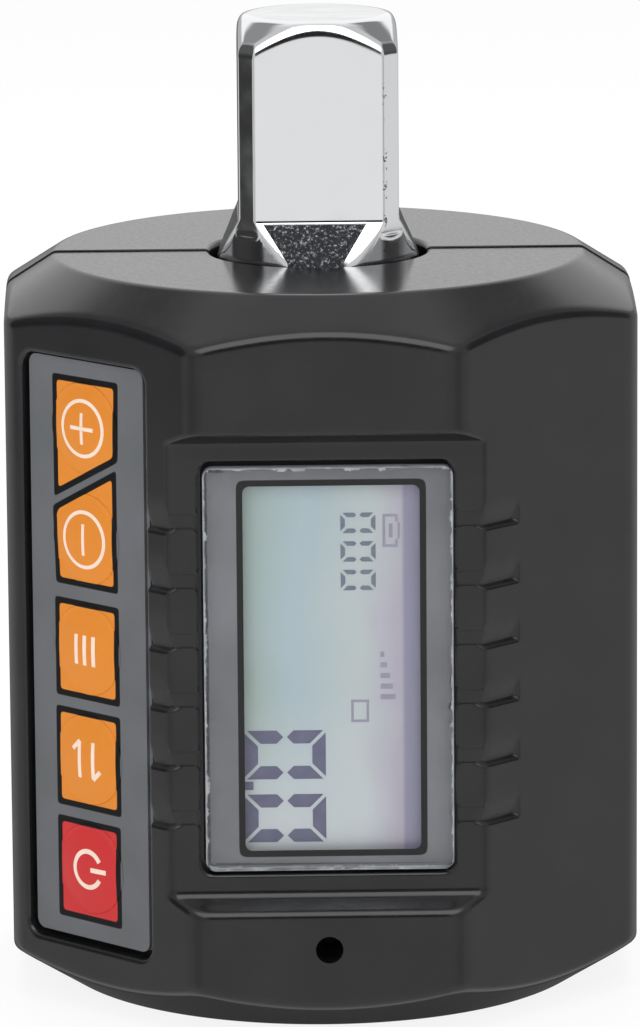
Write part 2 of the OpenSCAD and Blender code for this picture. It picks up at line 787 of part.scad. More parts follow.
// The female square socket with its bevelled mouth and cross hole
module socket_form() {
  half = socket_w / 2;
  mouth = half + socket_bevel + overrun;
  points = [
    [-mouth, head_sink - overrun], [mouth, head_sink - overrun],
    [half, head_sink + socket_bevel], [half, socket_end],
    [-half, socket_end], [-half, head_sink + socket_bevel]
  ];
  intersection() {
    prism_x(2 * mouth) polygon(points);
    prism_y(2 * mouth) polygon(points);
  }
  translate([0, 0, cross_hole_depth]) rotate([90, 0, 0])
    cylinder(h = 2 * span, r = cross_hole_r, center = true);
}

// The stepped bore of the detent ball in the rear flat, with the spring's room behind it
module ball_bore() {
  translate([0, 0, ball_z]) rotate([-90, 0, 0]) {
    translate([0, 0, spring_back_y])
      cylinder(h = drive_half - ball_lip - spring_back_y, r = ball_r + ball_gap);
    cylinder(h = drive_half + overrun, r = ball_lip_r);
  }
}

module detent_ball() {
  color("#c9ccd0") translate([0, ball_y, ball_z]) sphere(r = ball_r);
}

// Points of a coil about the z axis, from a start radius to an end radius
function coil_point(t, turns, length, r0, r1) =
  let (r = r0 + (r1 - r0) * t) [r * cos(360 * turns * t), r * sin(360 * turns * t), length * t];

// A wound spring as one unbroken tube of six sides, with eight rings to a curl
module coil(turns, length, r0, r1, thickness) {
  rings = 8 * turns;
  sides = 6;
  function centre(i) = coil_point(i / rings, turns, length, r0, r1);
  function ring(i) =
    let (c = centre(i), a = 360 * turns * i / rings)
    [for (k = [0:sides - 1]) let (b = 360 * k / sides)
      c + thickness * [cos(a) * cos(b), sin(a) * cos(b), sin(b)]];
  points = [for (i = [0:rings]) each ring(i)];
  last = rings * sides;
  faces = concat(
    [for (i = [0:rings - 1], k = [0:sides - 1])
      let (a = i * sides + k, b = i * sides + (k + 1) % sides)
      each [[a, b, a + sides], [b, b + sides, a + sides]]],
    [for (k = [1:sides - 2]) [0, k + 1, k]],
    [for (k = [1:sides - 2]) [last, last + k, last + k + 1]]
  );
  gap = length / turns - 2 * thickness;
  echo(least_gap = gap);
  polyhedron(points, faces);
}

module detent_spring() {
  color("#9a9da2") translate([0, spring_back_y + wire_r, ball_z]) rotate([-90, 0, 0])
    coil(spring_turns, spring_l - 2 * wire_r, spring_r - wire_r, spring_r - wire_r, wire_r);
}

module strain_gauges() {
  color("#c89b3c") for (turn = [0, 180], z = gauge_places)
    on_flat(turn, gauge_face) translate([0, z, 0]) rotate([0, 0, 45])
      block(gauge_w / sqrt(2), gauge_w / sqrt(2), gauge_t);
}

module gauge_wires() {
  start = gauge_face + gauge_t + gauge_wire_r;
  side_r = start;
  side_x = gauge_w / 2;
  color("#b03030") for (z = gauge_places) {
    // From a front gauge, upwards and forwards in a bend and straight to the board
    translate([0, -start - gauge_bend_r, z]) rotate([90, 0, 90])
      rotate_extrude(angle = 90) translate([gauge_bend_r, 0]) circle(r = gauge_wire_r);
    on_flat(0, start + gauge_bend_r) translate([0, z + gauge_bend_r, 0])
      cylinder(h = board_back - start - gauge_bend_r, r = gauge_wire_r);
    // From a rear gauge, round the shaft's side and straight to the board
    translate([side_x, 0, z]) rotate_extrude(angle = 90)
      translate([side_r, 0]) circle(r = gauge_wire_r);
    translate([side_x + side_r, 0, z]) rotate([90, 0, 0])
      cylinder(h = board_back, r = gauge_wire_r);
  }
}

module display_lens() {
  color("#dfe8ea", 0.4) on_flat(0, lens_back) translate([0, display_z, 0])
    plate(lens_w, lens_h, lens_t, lens_corner_r);
}

module lens_mask() {
  color("#7a7c80") on_flat(0, mask_back) translate([0, display_z, 0]) difference() {
    plate(lens_w, lens_h, mask_t, lens_corner_r);
    translate([window_shift, 0, -overrun])
      plate(window_w, window_h, mask_t + 2 * overrun, lens_corner_r);
  }
}

module lens_tape() {
  color("#d8d4c4") on_flat(0, lens_seat) translate([0, display_z, 0]) difference() {
    plate(lens_w, lens_h, tape_t, lens_corner_r);
    translate([window_shift, 0, -overrun])
      block(opening_w, opening_h, tape_t + 2 * overrun);
  }
}

module lcd_panel() {
  color("#b4c4c4") on_flat(0, panel_back) translate([0, display_z, 0])
    block(panel_w, panel_h, panel_t);
}

module lcd_frame() {
  color("#e4e4e0") on_flat(0, board_face) translate([0, display_z, 0]) difference() {
    block(frame_w, frame_h, recess_back - board_face);
    translate([0, 0, -overrun])
      block(panel_w + part_gap, panel_h + part_gap, recess_back - board_face + 2 * overrun);
  }
}

module contact_strips() {
  color("#d98aa0") for (side = [-1, 1])
    on_flat(0, board_face) translate([side * (panel_w / 2 - strip_w), display_z, 0])
      block(strip_w, window_h, panel_back - board_face);
}

module main_board() {
  color("#1f6b3a") on_flat(0, board_back) difference() {
    translate([0, body_h / 2, 0]) block(board_w, board_h, board_t);
    for (p = board_screw_places) translate([p[0], p[1], -overrun])
      cylinder(h = board_t + 2 * overrun, r = board_screw_r + screw_gap);
  }
}

module processor_chip() {
  color("#26282b") on_flat(0, board_back - chip_t) translate([0, processor_z, 0])
    block(processor_w, processor_w, chip_t);
}

module amplifier_chip() {
  color("#2b2d30") on_flat(0, board_back - chip_t)
    translate([0, board_screw_lo + processor_w / 2, 0]) block(amplifier_w, amplifier_w, chip_t);
}

module board_capacitors() {
  color("#8a8f96") for (x = [-1, 1]) on_flat(0, board_back - capacitor_h)
    translate([x * amplifier_w, body_h - board_screw_hi, 0])
      cylinder(h = capacitor_h, r = capacitor_r);
}

module tail_connector() {
  color("#f0efe8") on_flat(0, board_back - chip_t)
    translate([-connector_x - connector_w / 2, tail_z, 0]) difference() {
      block(connector_w, connector_h, chip_t);
      translate([-connector_w / 2, 0, chip_t / 2 - tail_t])
        block(connector_w, tail_w + part_gap, 2 * tail_t);
    }
}

module board_screws() {
  color("#b9bcc0") for (p = board_screw_places)
    on_flat(0, board_back) translate([p[0], p[1], 0]) mirror([0, 0, 1])
      screw(board_screw_r, board_thread_l, board_head_r, board_head_h);
}

module buzzer() {
  color("#1d1d1f") on_flat(0, board_face) translate([0, sound_hole_z, 0]) difference() {
    block(buzzer_w, buzzer_w, buzzer_t);
    translate([0, 0, buzzer_t / 2]) cylinder(h = buzzer_t, r = sound_hole_r);
  }
}

// The places of the five keys on the slanting flat, from the top
module at_key(index, distance) {
  on_pad(distance) translate([-key_shift, key_z + (2 - index) * key_pitch, 0]) children();
}

module keypad_board() {
  color("#2c6b4a") on_pad(pad_seat) translate([-pad_shift, pad_z, 0])
    plate(pad_w, pad_h, pad_board_t, pad_corner_r);
}

module keypad_spacer() {
  color("#c7c9cc") difference() {
    on_pad(spacer_back) translate([-pad_shift, pad_z, 0])
      plate(pad_w, pad_h, spacer_t, pad_corner_r);
    for (i = [0:key_count - 1]) at_key(i, spacer_back - overrun)
      cylinder(h = spacer_t + 2 * overrun, r = key_r + 2 * key_gap);
  }
}

module keypad_overlay() {
  color("#5f6468") difference() {
    on_pad(overlay_back) translate([-pad_shift, pad_z, 0])
      plate(pad_w, pad_h, overlay_t, pad_corner_r);
    for (i = [0:key_count - 1]) at_key(i, overlay_back - overrun)
      cylinder(h = overlay_t + 2 * overrun, r = key_r + key_gap);
  }
}

// The keypad's flat tail: through the pocket's floor, round a bend and into its connector
module keypad_tail() {
  color("#c98a2b") translate([0, 0, tail_z]) {
    on_pad(tail_bend_start) translate([tail_shift, 0, 0])
      block(tail_t, tail_w, pad_seat - tail_bend_start);
    translate([-tail_end_x, -tail_plane - tail_mid_r, -tail_w / 2]) rotate([0, 0, 90])
      rotate_extrude(angle = 45) translate([tail_bend_r, 0]) square([tail_t, tail_w]);
    translate([-tail_end_x, -tail_plane - tail_t / 2, -tail_w / 2])
      cube([tail_end_x - connector_x - connector_w / 2, tail_t, tail_w]);
  }
}

// Points on a shallow dome's surface, from radius r0 to radius r1
function dome_arc(r0, r1, top, ball) =
  [for (i = [0:arc_steps]) let (r = r0 + (r1 - r0) * i / arc_steps)
    [r, top - ball + sqrt(pow(ball, 2) - pow(r, 2))]];

// A key: a crowned cap with a rim in the overlay and a nub over the snap dome
module key(index, paint) {
  top = overlay_t + key_rise;
  inner_r = key_r - 2 * key_skin;
  color(paint) at_key(index, overlay_back) rotate_extrude() polygon(concat(
    [[0, 0], [key_nub_r, 0]],
    dome_arc(key_nub_r, inner_r, top - key_skin, crown_r),
    [[inner_r, 0], [key_r, 0]],
    dome_arc(key_r, 0, top, crown_r)
  ));
}

module plus_key() { key(0, "#f58a1f"); }
module minus_key() { key(1, "#f58a1f"); }
module menu_key() { key(2, "#f58a1f"); }
module unit_key() { key(3, "#f58a1f"); }
module power_key() { key(4, "#df3338"); }

// A snap dome: a thin spherical cap on the keypad board
module dome(index) {
  color("#c8cbd0") at_key(index, spacer_back) rotate_extrude() polygon(concat(
    dome_arc(0, dome_r, dome_h - dome_t, dome_ball_r),
    dome_arc(dome_r, 0, dome_h, dome_ball_r)
  ));
}

module plus_dome() { dome(0); }
module minus_dome() { dome(1); }
module menu_dome() { dome(2); }
module unit_dome() { dome(3); }
module power_dome() { dome(4); }

// An upright battery cell with its nub at the top
module cell() {
  cylinder(h = cell_l - nub_h, r = cell_r);
  cylinder(h = cell_l, r = nub_r);
}

module battery_left() {
  color("#c0a24a") translate([-cell_x, cell_y, bay_hi - contact_t - cell_l]) cell();
}

module battery_right() {
  color("#c0a24a") translate([cell_x, cell_y, bay_lo + contact_t + cell_l])
    mirror([0, 0, 1]) cell();
}

// Conical contact springs between a cell's flat end and its plate
module contact_springs() {
  length = contact_spring_l - 2 * wire_r;
  lo_r = contact_w / 2 - 2 * wire_r;
  color("#b5b8bd") {
    translate([-cell_x, cell_y, bay_lo + contact_t + wire_r])
      coil(contact_turns, length, lo_r, nub_r, wire_r);
    translate([cell_x, cell_y, bay_hi - contact_t - wire_r]) mirror([0, 0, 1])
      coil(contact_turns, length, lo_r, nub_r, wire_r);
  }
}

module contact_plates() {
  color("#b5b8bd") {
    translate([0, cell_y, bay_lo]) block(2 * cell_x + contact_w, contact_w, contact_t);
    for (x = [-cell_x, cell_x]) translate([x, cell_y, bay_hi - contact_t])
      block(contact_w, contact_w, contact_t);
  }
}

// Leads from the upper contact plates, bowed past the shaft, to the back of the board
module battery_leads() {
  color("#a03030") for (side = [0, 1]) mirror([side, 0, 0]) intersection() {
    translate([lead_centre_x, lead_centre_y, lead_z]) rotate([0, 0, -45])
      rotate_extrude(angle = 90) translate([lead_bend_r, 0]) circle(r = lead_r);
    translate([0, -board_back, lead_z - 2 * lead_r]) cube([span, lead_chord, 4 * lead_r]);
  }
}

front_shell();
rear_shell();
battery_door();
door_screw();
case_screws();
drive_shaft();
detent_ball();
detent_spring();
strain_gauges();
gauge_wires();
display_lens();
lens_mask();
lens_tape();
lcd_panel();
lcd_frame();
contact_strips();
main_board();
processor_chip();
amplifier_chip();
board_capacitors();
tail_connector();
board_screws();
buzzer();
keypad_board();
keypad_spacer();
keypad_overlay();
keypad_tail();
plus_key();
minus_key();
menu_key();
unit_key();
power_key();
plus_dome();
minus_dome();
menu_dome();
unit_dome();
power_dome();
battery_left();
battery_right();
contact_springs();
contact_plates();
battery_leads();
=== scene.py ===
"""Digital torque adapter: an octagonal display housing round a chromed square drive.

The CAD solids are the frame. Here they get soft moulded edges, printed films, a lit display
and real finishes. Lengths are in millimetres until a mesh or a camera is made from them,
and angles are in degrees. The display faces -Y and the drive points up.
"""

import bmesh
import bpy
import numpy as np
from mathutils import Matrix, Vector


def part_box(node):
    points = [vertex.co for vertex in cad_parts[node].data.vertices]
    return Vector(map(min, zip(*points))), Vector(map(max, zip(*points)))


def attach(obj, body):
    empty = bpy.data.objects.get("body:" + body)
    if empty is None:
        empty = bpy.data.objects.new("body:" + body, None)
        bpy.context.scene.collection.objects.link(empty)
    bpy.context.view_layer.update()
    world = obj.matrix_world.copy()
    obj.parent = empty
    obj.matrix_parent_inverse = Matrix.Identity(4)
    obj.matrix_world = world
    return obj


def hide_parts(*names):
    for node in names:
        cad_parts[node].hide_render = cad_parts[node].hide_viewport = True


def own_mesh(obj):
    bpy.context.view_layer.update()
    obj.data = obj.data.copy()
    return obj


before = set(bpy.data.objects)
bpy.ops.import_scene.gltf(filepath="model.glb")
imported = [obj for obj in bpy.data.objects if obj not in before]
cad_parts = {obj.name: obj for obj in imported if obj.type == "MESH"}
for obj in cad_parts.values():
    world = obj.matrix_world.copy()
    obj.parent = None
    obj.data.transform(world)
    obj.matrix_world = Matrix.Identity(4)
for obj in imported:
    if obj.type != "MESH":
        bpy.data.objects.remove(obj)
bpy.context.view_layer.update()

MM = 0.001


def box_mm(node):
    """The lowest and highest corners of a CAD node, in millimetres."""
    low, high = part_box(node)
    return np.array(low) / MM, np.array(high) / MM


# Sizes of the CAD solids
shell_low, shell_high = box_mm("front_shell")
BODY_HALF = -shell_low[1]
BODY_H = shell_high[2]
DRIVE_TOP = box_mm("drive_shaft")[1][2]
PANEL_FACE = -box_mm("lcd_panel")[0][1]
LENS_LOW, LENS_HIGH = box_mm("display_lens")
MASK_LOW, MASK_HIGH = box_mm("lens_mask")
DOOR_LOW, DOOR_HIGH = box_mm("battery_door")

END_FACE_R = 21.1
BEVEL_SLOPE = np.radians(32.4)
DIAGONAL = np.sqrt(2)

# The sunk display field and its ledges
RECESS_FACE = 23.05
RECESS_LOW = 11.3
RECESS_HIGH = 47.1
LEDGE_STEEPNESS = 1.95
# The shallow bands between the grooves and the lens's pocket
BAND_DEPTH = 0.15
BAND_HALF = 0.6
BAND_FILLET = 0.45
BAND_SLOPE = 0.1
# The grip grooves: a long slope, a steep step below it and an end wall
GROOVE_DEPTH = 0.45
GROOVE_W = 1.9
GROOVE_STEP = 0.35
GROOVE_END = 3.65
GROOVE_END_RISE = 1.2
# Widths over which the faces of a groove are blended: foot, end wall and rim
GROOVE_BLENDS = (0.08, 0.3, 0.12)
GROOVE_PITCH = 4.71
GROOVE_COUNT = 6
GROOVE_MIDDLE = 29.2
# Grid lines round the middle of each groove
GROOVE_LINES = np.array(
    [-1.15, -1.03, -0.95, -0.87, -0.78, -0.69, -0.64, -0.6, -0.56, -0.5, -0.4]
    + [-0.2, 0.0, 0.2, 0.4, 0.5, 0.6, 0.7, 0.82, 0.95, 1.1]
)
# The lens's pocket
POCKET_HALF = (9.95, 16.45)
POCKET_CORNER = 1.05

# The keypad on the slanting flat, along the flat from its middle and up the housing
PAD_POCKET_HALF = (6.9, 23.61)
PAD_POCKET_MIDDLE = (-1.64, 28.91)
PAD_POCKET_CORNER = 1.4
PAD_FACE = 24.55
KEY_S = -1.8
KEY_Z = 29.37
KEY_PITCH = 8.86
KEY_R = 3.6
CAP_R = 3.64
KEY_RISE = 0.4
EMBOSS = 0.08
OVERLAY_T = 0.3

# Holes and gaps in the shells
TOP_HOLE_R = 8.64
BOTTOM_HOLE_R = 11.6
DOOR_GAP = 0.15
DOOR_CORNER = 0.001
CASE_SCREW_X = 18.5
CASE_SCREW_Z = (8.2, 50.3)
CASE_HOLE_R = 2.6
DOOR_HOLE_R = 2.1

# Radii of the rounded lips round them
HOLE_LIP = 0.45
PARTING_LIP = 0.12
PAD_LIP = 0.3
LENS_LIP = 0.22
DOOR_LIP = 0.3
SCREW_LIP = 0.35

# The square drive
DRIVE_HALF = 6.35
DRIVE_CORNER = 8.12
COLLAR_R = 8.2
DRIVE_TOP_R = 5.9
DRIVE_TOP_SLOPE = np.radians(42)
FLAT_END_H = 3.1
RUNOUT_ANGLE = np.radians(25.7)
CORNER_END_H = 1.88
CORNER_ANGLE = np.radians(45)

# Directions along, up and out of the planes that carry printed films and flat pieces
UP = np.array([0.0, 0.0, 1.0])
FRONT = (np.array([1.0, 0.0, 0.0]), UP, np.array([0.0, -1.0, 0.0]))
PAD = (
    np.array([1.0, -1.0, 0.0]) / DIAGONAL,
    UP,
    np.array([-1.0, -1.0, 0.0]) / DIAGONAL,
)


def put(name, data):
    """A new object with the given data, in the scene."""
    made = bpy.data.objects.new(name, data)
    bpy.context.scene.collection.objects.link(made)
    return made


# The camera of the photograph, fitted to the housing's corners
CAMERA_TURN = np.radians(-1.12)
CAMERA_RISE = np.radians(11.62)
CAMERA_ROLL = np.radians(-0.44)
CAMERA_DISTANCE = 571.0
CAMERA_TARGET = np.array([-0.01, 0.0, 36.77])
IMAGE_H = 1027
FOCAL_PIXELS = 7086
SENSOR = 36.0


def photo_camera():
    """The camera at the photograph's viewing angle."""
    flat = np.cos(CAMERA_RISE)
    back = np.array(
        [np.sin(CAMERA_TURN) * flat, -np.cos(CAMERA_TURN) * flat, np.sin(CAMERA_RISE)]
    )
    level = np.array([np.cos(CAMERA_TURN), np.sin(CAMERA_TURN), 0.0])
    upright = np.cross(back, level)
    right = np.cos(CAMERA_ROLL) * level + np.sin(CAMERA_ROLL) * upright
    up = np.cos(CAMERA_ROLL) * upright - np.sin(CAMERA_ROLL) * level
    eye = (CAMERA_TARGET + CAMERA_DISTANCE * back) * MM
    data = bpy.data.cameras.new("photo_camera")
    data.sensor_width = SENSOR
    data.lens = FOCAL_PIXELS * SENSOR / IMAGE_H
    data.clip_start = 0.01
    data.clip_end = 20
    camera = put("photo_camera", data)
    turn = Matrix(np.column_stack([right, up, back]).tolist()).to_4x4()
    camera.matrix_world = Matrix.Translation(Vector(eye)) @ turn
    bpy.context.scene.camera = camera


photo_camera()


# Materials


def srgb(code):
    """A hex colour as linear red, green, blue and 1."""
    value = np.array([int(code[i : i + 2], 16) for i in (1, 3, 5)]) / 255
    linear = np.where(value > 0.04045, ((value + 0.055) / 1.055) ** 2.4, value / 12.92)
    return (*linear.tolist(), 1.0)


def add(tree, kind, links=(), **settings):
    """Adds a node: settings are its properties, or its sockets' values as i0, i1 and so
    on or by name with spaces as underscores, and links pairs a socket with its source."""
    node = tree.nodes.new("ShaderNode" + kind)
    for key, value in settings.items():
        if hasattr(node, key):
            setattr(node, key, value)
        elif key[0] == "i" and key[1:].isdigit():
            node.inputs[int(key[1:])].default_value = value
        else:
            node.inputs[key.replace("_", " ")].default_value = value
    for socket, source in links:
        tree.links.new(source, node.inputs[socket])
    return node


def finish_of(name, colour="#808080", **settings):
    """A new material with a Principled shader: the material, its tree and its shader."""
    material = bpy.data.materials.new(name)
    material.use_nodes = True
    tree = material.node_tree
    shader = tree.nodes["Principled BSDF"]
    shader.inputs["Base Color"].default_value = srgb(colour)
    for key, value in settings.items():
        shader.inputs[key.replace("_", " ")].default_value = value
    return material, tree, shader


def grain(tree, size_mm, detail=2.0, roughness=0.5):
    """Noise whose lumps are about size_mm across, on Object coordinates."""
    place = add(tree, "TexCoord").outputs["Object"]
    return add(
        tree,
        "TexNoise",
        [("Vector", place)],
        Scale=1 / (size_mm * MM),
        Detail=detail,
        Roughness=roughness,
    ).outputs["Fac"]


def blend_of(tree, factor, first, second):
    """A colour between two others, each a hex code or a socket, by a factor socket."""
    mix = add(tree, "Mix", [("Factor", factor)], data_type="RGBA")
    for socket, value in ((mix.inputs[6], first), (mix.inputs[7], second)):
        if isinstance(value, str):
            socket.default_value = srgb(value)
        else:
            tree.links.new(value, socket)
    return mix.outputs[2]


def span_of(tree, value, low, high, to_low=0.0, to_high=1.0):
    """A socket's value carried from one range to another, and held inside it."""
    return add(
        tree,
        "MapRange",
        [("Value", value)],
        From_Min=low,
        From_Max=high,
        To_Min=to_low,
        To_Max=to_high,
    ).outputs["Result"]


def bump_of(tree, shader, height, depth_mm, strength=1.0):
    """Bumps of the given depth on a shader's normal."""
    bump = add(
        tree, "Bump", [("Height", height)], Distance=depth_mm * MM, Strength=strength
    )
    tree.links.new(bump.outputs["Normal"], shader.inputs["Normal"])


def sum_of(tree, operation, first, second, third=0.0):
    """A Math node on sockets or numbers."""
    node = add(tree, "Math", operation=operation)
    for socket, value in zip(node.inputs, (first, second, third)):
        if isinstance(value, (int, float)):
            socket.default_value = value
        else:
            tree.links.new(value, socket)
    return node.outputs[0]


def product(tree, first, *others):
    """The product of sockets or numbers."""
    for other in others:
        first = sum_of(tree, "MULTIPLY", first, other)
    return first


def offset_of(tree, value, middle=0.0):
    """How far a socket's value is from a middle."""
    return sum_of(tree, "ABSOLUTE", sum_of(tree, "SUBTRACT", value, middle), 0.0)


def mix_of(tree, factor, first, second):
    """A mix of two shaders, by a factor socket."""
    feeds = [(0, factor), (1, first.outputs[0]), (2, second.outputs[0])]
    return add(tree, "MixShader", feeds)


def show(tree, shader):
    """Makes a shader the material's surface."""
    surface_input = tree.nodes["Material Output"].inputs["Surface"]
    tree.links.new(shader.outputs[0], surface_input)


def paint(tree, shader, colour, socket="Base Color"):
    """Feeds a socket of a shader, its colour unless another is named."""
    tree.links.new(colour, shader.inputs[socket])


def along(tree, direction):
    """The Object coordinate along a direction, in millimetres."""
    place = add(tree, "TexCoord").outputs["Object"]
    scaled = tuple(float(part) / MM for part in direction)
    dot = add(tree, "VectorMath", [(0, place)], operation="DOT_PRODUCT", i1=scaled)
    return dot.outputs["Value"]


def moulded_abs():
    """ABS moulded in a fine spark-eroded tool: a satin skin with a slight pearly mottle."""
    black = "#18181a"
    material, tree, shader = finish_of(
        "moulded_abs", black, Roughness=0.2, IOR=1.53, Specular_IOR_Level=0.4
    )
    mottle = grain(tree, 6.0, detail=3.0)
    pale = blend_of(tree, span_of(tree, mottle, 0.35, 0.7), black, "#1f1f21")
    paint(tree, shader, pale)
    # Sparks of 0.15 mm are drawn at 0.35 mm, the smallest that shows
    spark = grain(tree, 0.35, detail=1.0)
    rough = span_of(tree, spark, 0.3, 0.7, 0.16, 0.22)
    paint(tree, shader, rough, "Roughness")
    bump_of(tree, shader, spark, 0.002, 0.2)
    return material


# Half widths of the cutter's rough field at its foot and top, and its middle
ROUGH_HALF = (2.2, 4.2)
ROUGH_MIDDLE = -0.36
# The nicked edge of the front flat: its place across, and its depth in front
NICKED_X = 5.2
NICKED_Y = -6.0


def polished_chrome():
    """Chrome plating over ground steel: bright and slightly wavy, but the cutter's run-outs
    below the flats are rough, dark and grainy."""
    material, tree, shader = finish_of("polished_chrome", "#e9eaec", Metallic=1.0)
    x, y, z = (along(tree, axis) for axis in np.eye(3))
    out = sum_of(tree, "MAXIMUM", offset_of(tree, x), offset_of(tree, y))
    past = span_of(tree, out, DRIVE_HALF + 0.02, DRIVE_HALF + 0.1)
    flat_end = BODY_H + FLAT_END_H
    below = span_of(tree, z, flat_end, flat_end - 0.1)
    above = span_of(tree, z, BODY_H - 0.6, BODY_H - 0.4)
    # The rough field narrows downwards between two bright bevels
    side = sum_of(tree, "MINIMUM", offset_of(tree, x, ROUGH_MIDDLE), offset_of(tree, y))
    room = span_of(tree, z, BODY_H, flat_end, *ROUGH_HALF)
    inside = sum_of(tree, "LESS_THAN", side, room)
    etched = product(tree, past, below, inside, above)
    pits = grain(tree, 0.26, detail=4.0, roughness=0.75)
    speck = span_of(tree, pits, 0.54, 0.82)
    dark = blend_of(tree, speck, "#303235", "#f0f2f4")
    colour = blend_of(tree, etched, "#e9eaec", dark)
    # Nicks in the plating along the right edge of the front flat, but not near its top
    beside = span_of(tree, offset_of(tree, x, NICKED_X), 0.2, 0.12)
    ahead = span_of(tree, y, NICKED_Y + 0.1, NICKED_Y)
    torn = span_of(tree, grain(tree, 0.6, detail=3.0, roughness=0.7), 0.56, 0.6)
    height = span_of(tree, z, BODY_H + 15.5, BODY_H + 12.0)
    nicks = product(tree, beside, ahead, torn, height)
    colour = blend_of(tree, nicks, colour, "#1c1d1f")
    paint(tree, shader, colour)
    polish = span_of(tree, grain(tree, 2.5, detail=3.0), 0.3, 0.75, 0.05, 0.13)
    rough = span_of(tree, etched, 0.0, 1.0, 0.0, 0.32)
    paint(tree, shader, sum_of(tree, "ADD", polish, rough), "Roughness")
    waves = product(tree, grain(tree, 3.5, detail=1.0), 0.35)
    rugged = product(tree, pits, etched, 3.0)
    bump_of(tree, shader, sum_of(tree, "ADD", waves, rugged), 0.08, 0.5)
    return material


def plain_metal(name, colour, roughness, streak_mm=0.4):
    """Drawn, rolled or plated metal with fine streaks."""
    material, tree, shader = finish_of(name, colour, Metallic=1.0)
    streak = grain(tree, streak_mm, detail=3.0)
    rough = span_of(tree, streak, 0.3, 0.7, roughness * 0.7, roughness * 1.3)
    paint(tree, shader, rough, "Roughness")
    bump_of(tree, shader, streak, 0.01, 0.2)
    return material


def plain_plastic(name, colour, second, roughness, lump_mm=1.5):
    """Moulded, cast or printed plastic with a slight mottle."""
    material, tree, shader = finish_of(name, colour, Roughness=roughness)
    lump = grain(tree, lump_mm, detail=3.0)
    mixed = blend_of(tree, span_of(tree, lump, 0.35, 0.7), colour, second)
    paint(tree, shader, mixed)
    bump_of(tree, shader, lump, 0.01, 0.2)
    return material


def rounded_box(tree, u, v, middle, half, corner):
    """Signed distance to an upright box with rounded corners, from its middle."""
    du = sum_of(tree, "SUBTRACT", offset_of(tree, u, middle[0]), half[0])
    dv = sum_of(tree, "SUBTRACT", offset_of(tree, v, middle[1]), half[1])
    return sum_of(tree, "SMOOTH_MAX", du, dv, corner)


# The clear window in the lens's printed back, and the dark line round it
WINDOW_MIDDLE = (0.42, 28.93)
WINDOW_HALF = (6.87, 14.53)
WINDOW_CORNER = 0.55
LINE_CORNER = 1.0
LINE_W = 0.52


def screen_print():
    """Ink printed on the back of the lens: grey, with a dark line round the window."""
    material, tree, shader = finish_of("screen_print", Roughness=0.5)
    shader.inputs["Specular IOR Level"].default_value = 0.1
    x, z = along(tree, (1, 0, 0)), along(tree, (0, 0, 1))
    distance = rounded_box(tree, x, z, WINDOW_MIDDLE, WINDOW_HALF, LINE_CORNER)
    line = span_of(tree, distance, LINE_W, LINE_W - 0.05)
    shade = span_of(tree, grain(tree, 9.0, detail=2.0), 0.35, 0.65)
    grey = blend_of(tree, shade, "#6f7175", "#7b7d82")
    colour = blend_of(tree, line, grey, "#08080a")
    paint(tree, shader, colour)
    return material


def display_glass():
    """Polarised display glass over a reflector: greenish at the left, then cyan, grey and
    lavender, with a darker strip along the right edge. Towards the bottom it is painted
    paler: painted light against the shade that the window's walls cast there."""
    material, tree, shader = finish_of("display_glass", "#b4c4c4", Roughness=0.22)
    x, z = along(tree, (1, 0, 0)), along(tree, (0, 0, 1))
    wander = span_of(tree, grain(tree, 8.0, detail=2.0), 0.3, 0.7, -0.8, 0.8)
    x = sum_of(tree, "ADD", x, wander)
    green = blend_of(tree, span_of(tree, x, -6.5, -2.5), "#9db0aa", "#a7bac1")
    grey = blend_of(tree, span_of(tree, x, -1.5, 2.5), green, "#b7c1c2")
    # Painted light: the bottom is painted paler, making up for the shade of the window's
    # walls
    pale = blend_of(tree, span_of(tree, z, 27.0, 17.0), grey, "#c1c9cd")
    mauve = blend_of(tree, span_of(tree, x, 3.0, 5.8), pale, "#b0abbb")
    strip = span_of(tree, along(tree, (1, 0, 0)), 5.85, 6.15)
    colour = blend_of(tree, strip, mauve, "#918fa7")
    paint(tree, shader, colour)
    return material


# The lens sheet, which sits a little low and to the right in its pocket
SHEET_MIDDLE = (0.15, 29.05)
SHEET_HALF = (9.7, 16.05)
SHEET_CORNER = 0.8
SHEET_EDGE_R = 0.18


def clear_acrylic():
    """Polished acrylic sheet, seen straight through and mirroring a little of the studio.
    Its sawn edge is frosted and chipped."""
    material = bpy.data.materials.new("clear_acrylic")
    material.use_nodes = True
    tree = material.node_tree
    tree.nodes.remove(tree.nodes["Principled BSDF"])
    clear = add(tree, "BsdfTransparent")
    gloss = add(tree, "BsdfGlossy", Roughness=0.03)
    # Only the outer side of each face mirrors, because the light isn't bent inside
    inner = add(tree, "NewGeometry").outputs["Backfacing"]
    outside = sum_of(tree, "SUBTRACT", 1.0, inner)
    shine = add(tree, "Fresnel", IOR=1.49).outputs[0]
    sheet = mix_of(tree, product(tree, shine, outside), clear, gloss)
    x, z = along(tree, (1, 0, 0)), along(tree, (0, 0, 1))
    distance = rounded_box(tree, x, z, SHEET_MIDDLE, SHEET_HALF, SHEET_CORNER)
    chips = grain(tree, 0.9, detail=4.0, roughness=0.7)
    reach = span_of(tree, chips, 0.5, 0.75, 0.12, 0.5)
    frost = span_of(tree, sum_of(tree, "ADD", distance, reach), 0.0, 0.06)
    patches = span_of(tree, grain(tree, 2.5, detail=2.0), 0.35, 0.6, 0.4, 0.9)
    edge = add(tree, "BsdfDiffuse", Color=srgb("#b7babe"))
    show(tree, mix_of(tree, product(tree, frost, patches), sheet, edge))
    return material


